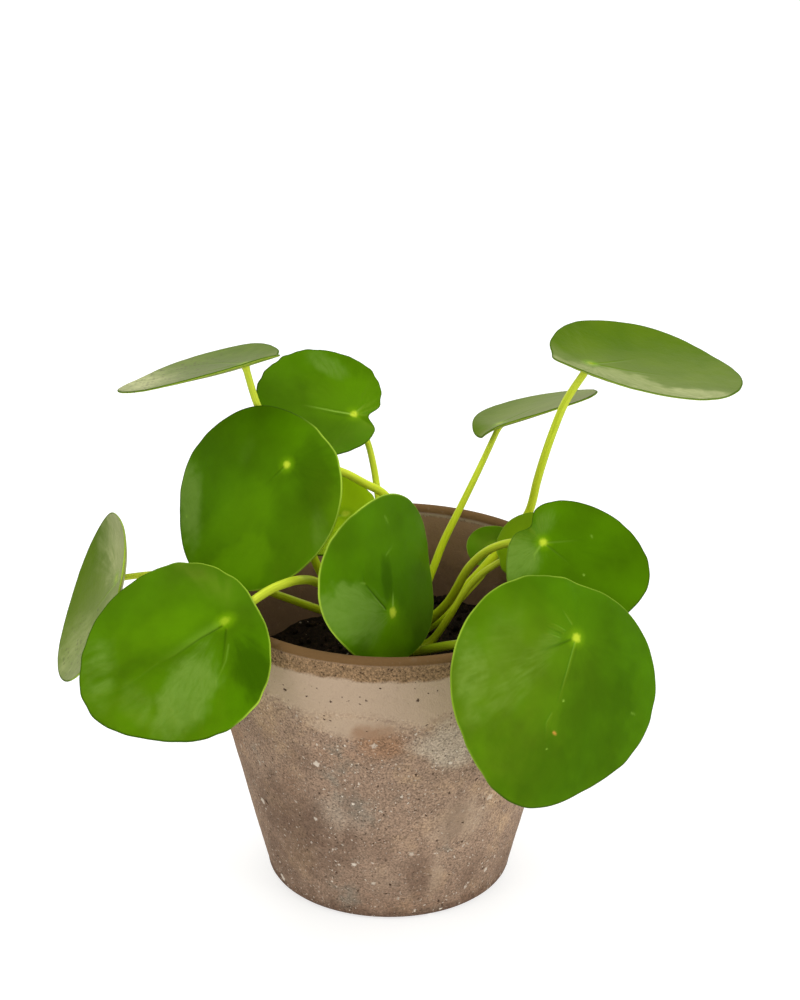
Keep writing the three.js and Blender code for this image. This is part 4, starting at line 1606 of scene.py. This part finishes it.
LEAVES = (
    LeafForm("01", at=(-57.5, 17, 212.5), face=136, tilt=18, spin=46, middle=16.5, dish=2.25, saddle=-1.5,
        notch=2, wave=0.1, leaves_stem=106, stalk=(2, 1.5), age=LeafAge.GREY, buckle=0.08, scallop=0.05,
        rim=Rim(0.2, 0, 400),
        radii=(34.25, 33, 32.25, 33.25, 33.25, 32.5, 32, 31.25, 32.25, 32.25, 31.75, 31.25),
        path=((3, 5.5, 108), (-12, 3, 116), (-24, 0, 125), (-30, -2, 137), (-34, 1, 148.5),
            (-38.5, 5.5, 163.5), (-45.5, 11, 180.5), (-53, 16, 196.5)),
        marks=(Mark(((0, 0), (14, 1), (28, -2)), width=0.7, depth=0.2, pale=0.5),
            Mark(((0, 0), (10, 12), (22, 20)), width=0.7, depth=0.2),
            Mark(((0, 0), (10, -12), (20, -18)), width=0.7, depth=0.2),
            Mark(((4, -9), (4.4, -9)), width=0.7, depth=0, pale=0, shade=1)),
        patches=(Patch(Tone.PAINTED_GLARE, (50, 0), 30, 34, strength=0.64, grain=1.4),
            Patch(Tone.SPECKS, (34, 0), 44, 44, strength=0.95, grain=0),
            Patch(Tone.PAINTED_SHADOW, (10, 0), 34, 38, strength=0.6, grain=0.3))),
    LeafForm("02", at=(-15, 34, 184.5), face=283, tilt=37, spin=249, middle=14.5, dish=2.25, saddle=-0.5,
        notch=4.5, wave=0.3, leaves_stem=113.5, stalk=(1.75, 1.25), buckle=0.25, scallop=0.4,
        rim=Rim(0.25, 200, 120),
        radii=(25.75, 24.5, 25.75, 25.75, 24.75, 25.5, 25, 26, 26.5, 25, 25.5, 25.75),
        path=((4.5, 11, 118.5), (0.5, 12, 129), (-3.5, 12.5, 147), (-5.5, 19, 159), (-7, 25, 166),
            (-9.5, 29.5, 174.5)),
        marks=(Mark(((0.4, 0.1), (7.7, 0.8), (15.8, 1.3), (22.3, 1.8)), width=0.45, depth=0.2, pale=0.8),
            Mark(((0.3, 0.1), (-3.9, -6.6)), width=0.5, depth=0.15),
            Mark(((1, 1.5), (9, 2.2), (16, 2.6)), width=0.7, depth=0, pale=0, shade=0.4)),
        patches=(Patch(Tone.PAINTED_GLARE, (15, -19), 12, 5.5, turn=-16, strength=0.65),
            Patch(Tone.GLOW, (5, -8), 24, 18, strength=0.55, grain=0.3),
            Patch(Tone.PAINTED_SHADOW, (4, 12), 16, 8, turn=60, strength=0.35))),
    LeafForm("03", at=(-40, -12, 182), face=234, tilt=57, spin=327, middle=18.5, dish=-3, saddle=0,
        notch=0.8, wave=0.25, leaves_stem=113, stalk=(2, 1.5), buckle=0.25, scallop=0.15,
        rim=Rim(0.8, 120, 150), rim_wide=0.35,
        radii=(38.5, 38, 37, 37, 38.25, 38, 37, 36, 38, 38, 38, 36.25),
        path=((8, 4.5, 121.5), (6.5, 3.5, 134), (3, 3, 152), (-2.5, 0, 164.5), (-10, -2, 170),
            (-19.5, -4, 176), (-27.5, -6, 178.5)),
        marks=(Mark(((-0.5, -0.5), (8, -0.2), (14.1, 1.2)), width=0.4, depth=0.08, pale=0, shade=0.5),
            Mark(((1, 0.5), (8.4, 0.9)), width=0.4, depth=-0.05, pale=0.2),
            Mark(((47, -16), (47.5, -16)), width=0.5, depth=0, pale=0.9)),
        patches=(Patch(Tone.PAINTED_GLARE, (43, -20), 24, 8, turn=62, strength=1.05, grain=0.8, inner=0.3),
            Patch(Tone.PAINTED_GLARE, (5, 31), 12, 5, turn=60, strength=0.4),
            Patch(Tone.PAINTED_GLARE, (10, -18), 9, 5, turn=30, strength=0.22),
            Patch(Tone.PAINTED_SHADOW, (-6, 12), 22, 12, turn=60, strength=0.8, grain=0.3),
            Patch(Tone.GLOW, (28, 4), 24, 18, strength=0.6, grain=0.3),
            Patch(Tone.GLOW, (38, 17), 20, 16, strength=0.85, grain=0.3))),
    LeafForm("04", at=(-107.5, -10, 132), face=192, tilt=68, spin=10, middle=10, dish=7.25, saddle=1,
        notch=0.2, wave=0.1, leaves_stem=96, stalk=(2, 1.3), age=LeafAge.GREY, buckle=0.08, scallop=0.03,
        rim=Rim(0.6, 110, 180),
        radii=(35.25, 34.25, 34.5, 34.75, 34.75, 35, 34.5, 35, 36, 34.75, 34.5, 35.5),
        path=((2, 4, 98), (-12, 0, 108.5), (-28, -6, 117), (-45, -14, 127.5), (-58, -14, 132.5),
            (-72, -13, 135), (-85, -11, 135), (-97, -10, 133.6)),
        marks=(Mark(((-4, 7.5), (7.6, -4.1), (18.1, -10.5)), depth=0.2, pale=0.6, shade=0.2),
            Mark(((16.1, -6.7), (16.5, -6.7)), width=0.8, depth=0, pale=0, shade=1),
            Mark(((39.9, -10.9), (40.3, -10.9)), width=0.8, depth=0, pale=0, shade=1)),
        patches=(Patch(Tone.PAINTED_GLARE, (34, -6), 22, 24, strength=0.32),
            Patch(Tone.PAINTED_GLARE, (-18, -2), 30, 32, strength=0.6, grain=0.1, inner=0.2),
            Patch(Tone.PAINTED_GLARE, (10, 14), 50, 20, strength=0.3, grain=0.4, inner=0.5),
            Patch(Tone.SPECKS, (34, 0), 24, 30, strength=0.5, grain=0))),
    LeafForm("05", at=(-62, -62, 139), face=260, tilt=44, spin=308, middle=22, dish=-4, saddle=0, notch=0.8,
        wave=0.3, leaves_stem=100, stalk=(2.1, 1.75), buckle=0.35, scallop=0.3, rim=Rim(0.85, 175, 150),
        rim_wide=0.6, spot=Spot(1.4, 1, 0.35),
        radii=(39.5, 36.25, 34.75, 36.75, 37.5, 36, 36, 37.25, 37.25, 35.25, 35.25, 36.75),
        path=((3, 1.5, 103.5), (-6, -3, 112), (-16, -8, 123.5), (-28, -21, 135.8), (-33, -35.5, 144),
            (-38.5, -43, 146.5), (-45.5, -46.6, 145), (-51.2, -50, 142.5)),
        marks=(
            Mark(((2, 1.2), (11.4, 0.9), (22.7, 1.5), (31.3, 0.8)), width=0.5, depth=0.18, pale=0, shade=0.6),
            Mark(((4, 0.6), (11.4, 0.4), (22.7, 1), (33, 0.3)), width=2.8, depth=-0.1, pale=0.3, side=-1),
            Mark(((30, 0.4), (38.2, 1.1), (47.1, 1.4), (56.8, -1.3)), width=0.5, pale=0.15),
            Mark(((1.5, 3.3), (6.1, 10), (9.5, 14.5), (15, 17.9)), depth=0.2, pale=0, shade=0.5),
            Mark(((3.5, 9), (7.5, 14), (13, 18), (18.9, 20.9)), width=0.5, depth=0, pale=0.3)),
        patches=(Patch(Tone.PAINTED_GLARE, (27, 17), 23, 12, turn=36, strength=0.9, grain=0.4, inner=0.45),
            Patch(Tone.PAINTED_GLARE, (51, -9), 20, 9, turn=62, strength=0.45, grain=2.2),
            Patch(Tone.PAINTED_GLARE, (44, 10), 8, 12, strength=0.4),
            Patch(Tone.GLOW, (22, -10), 26, 10, turn=-16, strength=0.45, grain=0.3),
            Patch(Tone.PAINTED_SHADOW, (0, 24), 21, 10, turn=80, grain=0.3),
            Patch(Tone.PAINTED_SHADOW, (40, -4), 10, 4, strength=0.4))),
    LeafForm("06", at=(-18, 20, 147), face=265, tilt=31, spin=285, middle=7, dish=1, saddle=0, notch=1.5,
        wave=0.3, leaves_stem=109.5, stalk=(1.7, 1.3), age=LeafAge.YOUNG, buckle=0.2, scallop=0.15,
        rim=Rim(0.5, 206, 140),
        radii=(20, 20.5, 20, 19.5, 20.5, 20, 20.5, 20, 21.5, 21.5, 19.5, 20),
        path=((3, 9.5, 112.5), (-4.5, 12.5, 121.5), (-11.5, 15, 131), (-16, 18.5, 140)),
        marks=(Mark(((0, 0), (9, 1), (16, 1)), width=0.7, depth=0.2),),
        patches=(Patch(Tone.GLOW, (6, -4), 44, 44, strength=0.68, grain=0.1),
            Patch(Tone.PAINTED_SHADOW, (18, 10), 14, 16, strength=0.5, grain=0.2))),
    LeafForm("07", at=(1, -49, 137), face=321, tilt=75, spin=178, middle=12, dish=-3.25, saddle=0.5,
        notch=1, wave=0.2, leaves_stem=108, stalk=(2, 1.6), buckle=0.25, scallop=0.15,
        rim=Rim(0.65, 0, 400), rim_wide=0.4, spot=Spot(1.3, 1.2, 1),
        radii=(31.25, 31.5, 34, 34.5, 31, 32, 33, 34.5, 32.5, 29.75, 33.5, 34.75),
        path=((6.5, 0.5, 111.5), (1, -4, 121), (-4, -16, 126), (-5.5, -30, 129.5), (-4.5, -38, 131.5),
            (-2, -43, 133.5)),
        marks=(
            Mark(((2.4, 3.5), (8.4, 7.5), (15.4, 12), (21, 11.4)), width=0.5, depth=0.2, pale=0, shade=0.8),
            Mark(((2.6, 4.2), (8.4, 8.3), (15.4, 12.8)), depth=-0.05, pale=0.35),
            Mark(((15, 11.6), (16.4, 15)), width=0.5, depth=0.15, pale=0.5),
            Mark(((2.5, -0.8), (8.1, -2.4)), pale=0.7), Mark(((36, -7.3), (31.3, -8.8)), pale=0.45),
            Mark(((22, -3), (25, -9)), pale=0.3)),
        patches=(Patch(Tone.PAINTED_GLARE, (6, 21), 20, 12, turn=60, strength=0.95, grain=0.4, inner=0.6),
            Patch(Tone.PAINTED_GLARE, (-4, 14), 10, 8, turn=90, strength=0.5),
            Patch(Tone.GLOW, (30, 0), 18, 18, strength=0.35, grain=0.3),
            Patch(Tone.GLOW, (-8, -6), 12, 12, strength=0.3, grain=0.3),
            Patch(Tone.PAINTED_SHADOW, (8, -14), 30, 13, strength=0.24, grain=0.3, inner=0.75),
            Patch(Tone.PAINTED_SHADOW, (14, -0.6), 11, 4, turn=-12, strength=0.75, grain=0.2, inner=0.45),
            Patch(Tone.GLOW, (-13, 2), 18, 15, grain=0.3))),
    LeafForm("08", at=(78, 18, 213), face=5, tilt=10, spin=0, middle=21, dish=4.5, saddle=-1.75, notch=1.5,
        wave=0.2, leaves_stem=98.5, stalk=(2.1, 1.6), age=LeafAge.GREY, buckle=0.1, scallop=0.12,
        rim=Rim(0.2, 0, 400),
        radii=(39.75, 38, 38.5, 39, 38.25, 37.75, 38.75, 39, 38, 38, 38.25, 38.25),
        path=((13, 10.5, 100.5), (22, 11, 106), (29, 14.5, 115.5), (36, 18, 122.5), (43, 22, 129.5),
            (50, 25.5, 137), (55.5, 26, 145.5), (58.6, 22.5, 161.4), (60.7, 21, 170.8), (64.4, 19.5, 184.4),
            (69, 18.5, 197.5)),
        marks=(Mark(((0, -0.7), (8.8, 4.2), (20.7, 11.3)), depth=0.15, pale=0.35),
            Mark(((0, 0), (14, -3), (30, -4)), depth=0.15, pale=0.3),
            Mark(((0, -0.7), (2, 0), (4, 0.6)), width=0.9, depth=0, pale=0.7)),
        patches=(Patch(Tone.PAINTED_GLARE, (38, -31), 38, 14, strength=0.56, grain=0.5, inner=0.75),
            Patch(Tone.PAINTED_GLARE, (0, -20), 30, 19, turn=-10, strength=0.5, grain=0.5, inner=0.75),
            Patch(Tone.PAINTED_SHADOW, (20, 10), 30, 16, strength=0.2, grain=0.4))),
    LeafForm("09", at=(44, 42, 177.5), face=151, tilt=23, spin=233, middle=15, dish=0.75, saddle=-2.5,
        notch=1, wave=0.1, leaves_stem=109, stalk=(1.85, 1.2), age=LeafAge.GREY, buckle=0.08, scallop=0.05,
        rim=Rim(0.3, 0, 400),
        radii=(26.5, 25.75, 25.5, 26.5, 26, 25.25, 26.25, 27, 27.25, 27, 26.75, 27.5),
        path=((11, 9, 112), (17, 18, 123.5), (21.5, 24, 133.5), (28, 29, 146), (35.1, 34, 160)),
        marks=(Mark(((0, 0), (12, 1), (24, 2)), depth=0.15),)),
    LeafForm("10", at=(59, -27, 156.5), face=282, tilt=48, spin=38, middle=16.5, dish=1.25, saddle=0.75,
        notch=4, wave=0.2, leaves_stem=104, stalk=(2.1, 1.6), buckle=0.25, scallop=0.15,
        rim=Rim(0.3, 240, 120), ripe=0.3,
        radii=(26, 28.75, 29.5, 28.5, 28.25, 29.5, 28.25, 27, 27, 29, 28.25, 28.75),
        path=((15.5, 4, 108), (23, -3, 119), (31.5, -11, 139), (39, -16, 148.5), (47, -19.5, 153),
            (54, -22.5, 154)),
        marks=(Mark(((1, 0.2), (8, 1), (15.3, 1.5)), width=0.5, depth=0.2, pale=0.2, shade=0.5),
            Mark(((1, 1), (5, 6), (9.9, 12.1)), width=0.5, depth=0.15, pale=0.3, shade=0.3),
            Mark(((0, -1), (1, -6), (4, -9)), depth=0.2, pale=0.5, shade=0.2),
            Mark(((20, 2), (20.4, 2)), width=0.5, depth=0, pale=0.9),
            Mark(((11, 16), (12.5, 15)), width=0.4, depth=0, pale=0.6)),
        patches=(Patch(Tone.PAINTED_GLARE, (-2, -12), 13, 10, turn=-80),
            Patch(Tone.PAINTED_GLARE, (-7, -16), 12, 12, strength=1.1, grain=1.4),
            Patch(Tone.PAINTED_GLARE, (-5, 6), 9, 5, turn=90, strength=0.5),
            Patch(Tone.PAINTED_SHADOW, (20, 16), 18, 10, turn=45, strength=0.35))),
    LeafForm("11", at=(42, 42, 122), face=254, tilt=33, spin=250, middle=1.5, dish=1, saddle=0, notch=0.8,
        wave=0.2, leaves_stem=94, stalk=(1.5, 1.2), buckle=0.15, scallop=0.05, rim=Rim(0.7, 0, 400),
        radii=(10, 9.5, 9.5, 10, 10, 9.5, 10, 9.5, 10, 10.5, 10, 10),
        path=((9, 12.5, 94.5), (13, 18, 97), (23, 22, 102.5), (32, 29, 109), (39, 38, 114))),
    LeafForm("12", at=(50, 8, 139), face=239, tilt=52, spin=140, middle=3.5, dish=-1.5, saddle=0, notch=0.8,
        wave=0.2, leaves_stem=94, stalk=(1.7, 1.4), age=LeafAge.YOUNG, buckle=0.15, scallop=0.1,
        rim=Rim(0.6, 0, 400), ripe=0.3,
        radii=(13, 13, 12, 11.5, 11.5, 12, 13, 14.5, 12.5, 11.5, 12, 12.5),
        path=((15, 4.5, 96.5), (23, 5, 107.5), (29, 9, 116.5), (36, 11, 124.5), (43, 12, 129.5),
            (48.5, 11.5, 133)),
        patches=(Patch(Tone.GLOW, (4, 0), 30, 30, strength=0.24, grain=0.2),)),
    LeafForm("13", at=(70, -72, 138), face=304, tilt=70, spin=327, middle=20.5, dish=-4.5, saddle=0,
        notch=0.8, wave=0.2, leaves_stem=96, stalk=(2.2, 1.8), buckle=0.25, scallop=0.25,
        rim=Rim(0.55, 228, 220), rim_wide=0.4, ripe=0.85, spot=Spot(1.15, 1.15, 0.9),
        radii=(45.75, 42.25, 42.75, 46.5, 47.25, 44.25, 41.75, 43.5, 46.75, 47, 44.75, 43.75),
        path=((8, -1, 98), (7.5, -10, 102), (7.5, -24, 108), (12, -35, 113.5), (18.5, -52, 123.5),
            (25, -62.5, 130), (31.5, -65.5, 132.3), (38, -67, 133), (49.5, -68, 134.2)),
        marks=(Mark(((1.9, 0), (13.3, 0.5), (26.8, 0.7)), width=0.45, depth=0.15),
            Mark(((3, 1.4), (13.4, 1.9), (22, 2)), depth=0, pale=0, shade=0.3),
            Mark(((29.8, -0.2), (34, -1), (39.2, 1)), width=0.4, pale=0.3),
            Mark(((1.6, -2.2), (5.8, -7.6), (9.7, -13.2)), depth=0.2, pale=0, shade=0.5),
            Mark(((-4.2, -3.7), (-8.4, -10)), width=0.45, pale=0.3),
            Mark(((-1, -6), (-2, -13)), width=0.4, depth=-0.15, pale=0.3),
            Mark(((0.7, -6.8), (0, -14.3)), width=0.4, depth=0.15, pale=0, shade=0.35),
            Mark(((2.4, -7.5), (2.5, -14)), width=0.4, depth=-0.15, pale=0.3),
            Mark(((36.2, 3.5), (36.8, 5.5)), depth=0, pale=0, fleck=0.9),
            Mark(((66, -14), (67.5, -14.5)), depth=0, pale=0, fleck=0.9),
            Mark(((24, 3), (24.3, 3)), depth=0, pale=0.9),
            Mark(((43, 3), (43.3, 3)), width=0.5, depth=0, pale=0.8),
            Mark(((18, 36), (18, 39)), width=0.5, depth=0.05, pale=0.5)),
        patches=(Patch(Tone.PAINTED_GLARE, (28, -37), 24, 10, turn=20, strength=0.52, grain=2),
            Patch(Tone.PAINTED_GLARE, (24, -20), 26, 10, turn=-25, strength=0.42, grain=2.4),
            Patch(Tone.PAINTED_GLARE, (13, -30), 20, 12, strength=0.36),
            Patch(Tone.PAINTED_GLARE, (8, -12), 12, 6, turn=-30, strength=0.4),
            Patch(Tone.PAINTED_SHADOW, (24, 20), 40, 26, turn=10, strength=0.6, grain=0.3),
            Patch(Tone.PAINTED_SHADOW, (-10, 6), 18, 22, strength=0.3, grain=0.3),
            Patch(Tone.PAINTED_SHADOW, (50, 2), 20, 30, strength=0.6, grain=0.3))),
)


def main() -> None:
    """Builds the plant piece by piece, then the studio."""
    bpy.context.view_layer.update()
    pot = Pot()
    pot.build()
    Soil().build(pot)
    stem = Stem()
    stem.build()
    # The young leaves' painted light is brighter, and the grey leaves' painted glare is paler.
    greens = {LeafAge.MATURE: WaxyLeaf(LeafAge.MATURE, "3e6800", "487800").material(),
              LeafAge.YOUNG: WaxyLeaf(LeafAge.YOUNG, "4a6e00", "587c04", painted_light="b8e010").material(),
              LeafAge.GREY: WaxyLeaf(LeafAge.GREY, "4b6a06", "55720a", painted_glare="c0c48c",
                                     spot="8aa030").material()}
    smooth_stalk = LeafStalk().material()
    for form in LEAVES:
        Blade(form).build(greens[form.age])
        Stalk(form, stem).build(smooth_stalk)
    Studio().build()


if __name__ == "__main__":
    logging.basicConfig(level=logging.INFO, format="%(name)s: %(message)s")
    main()
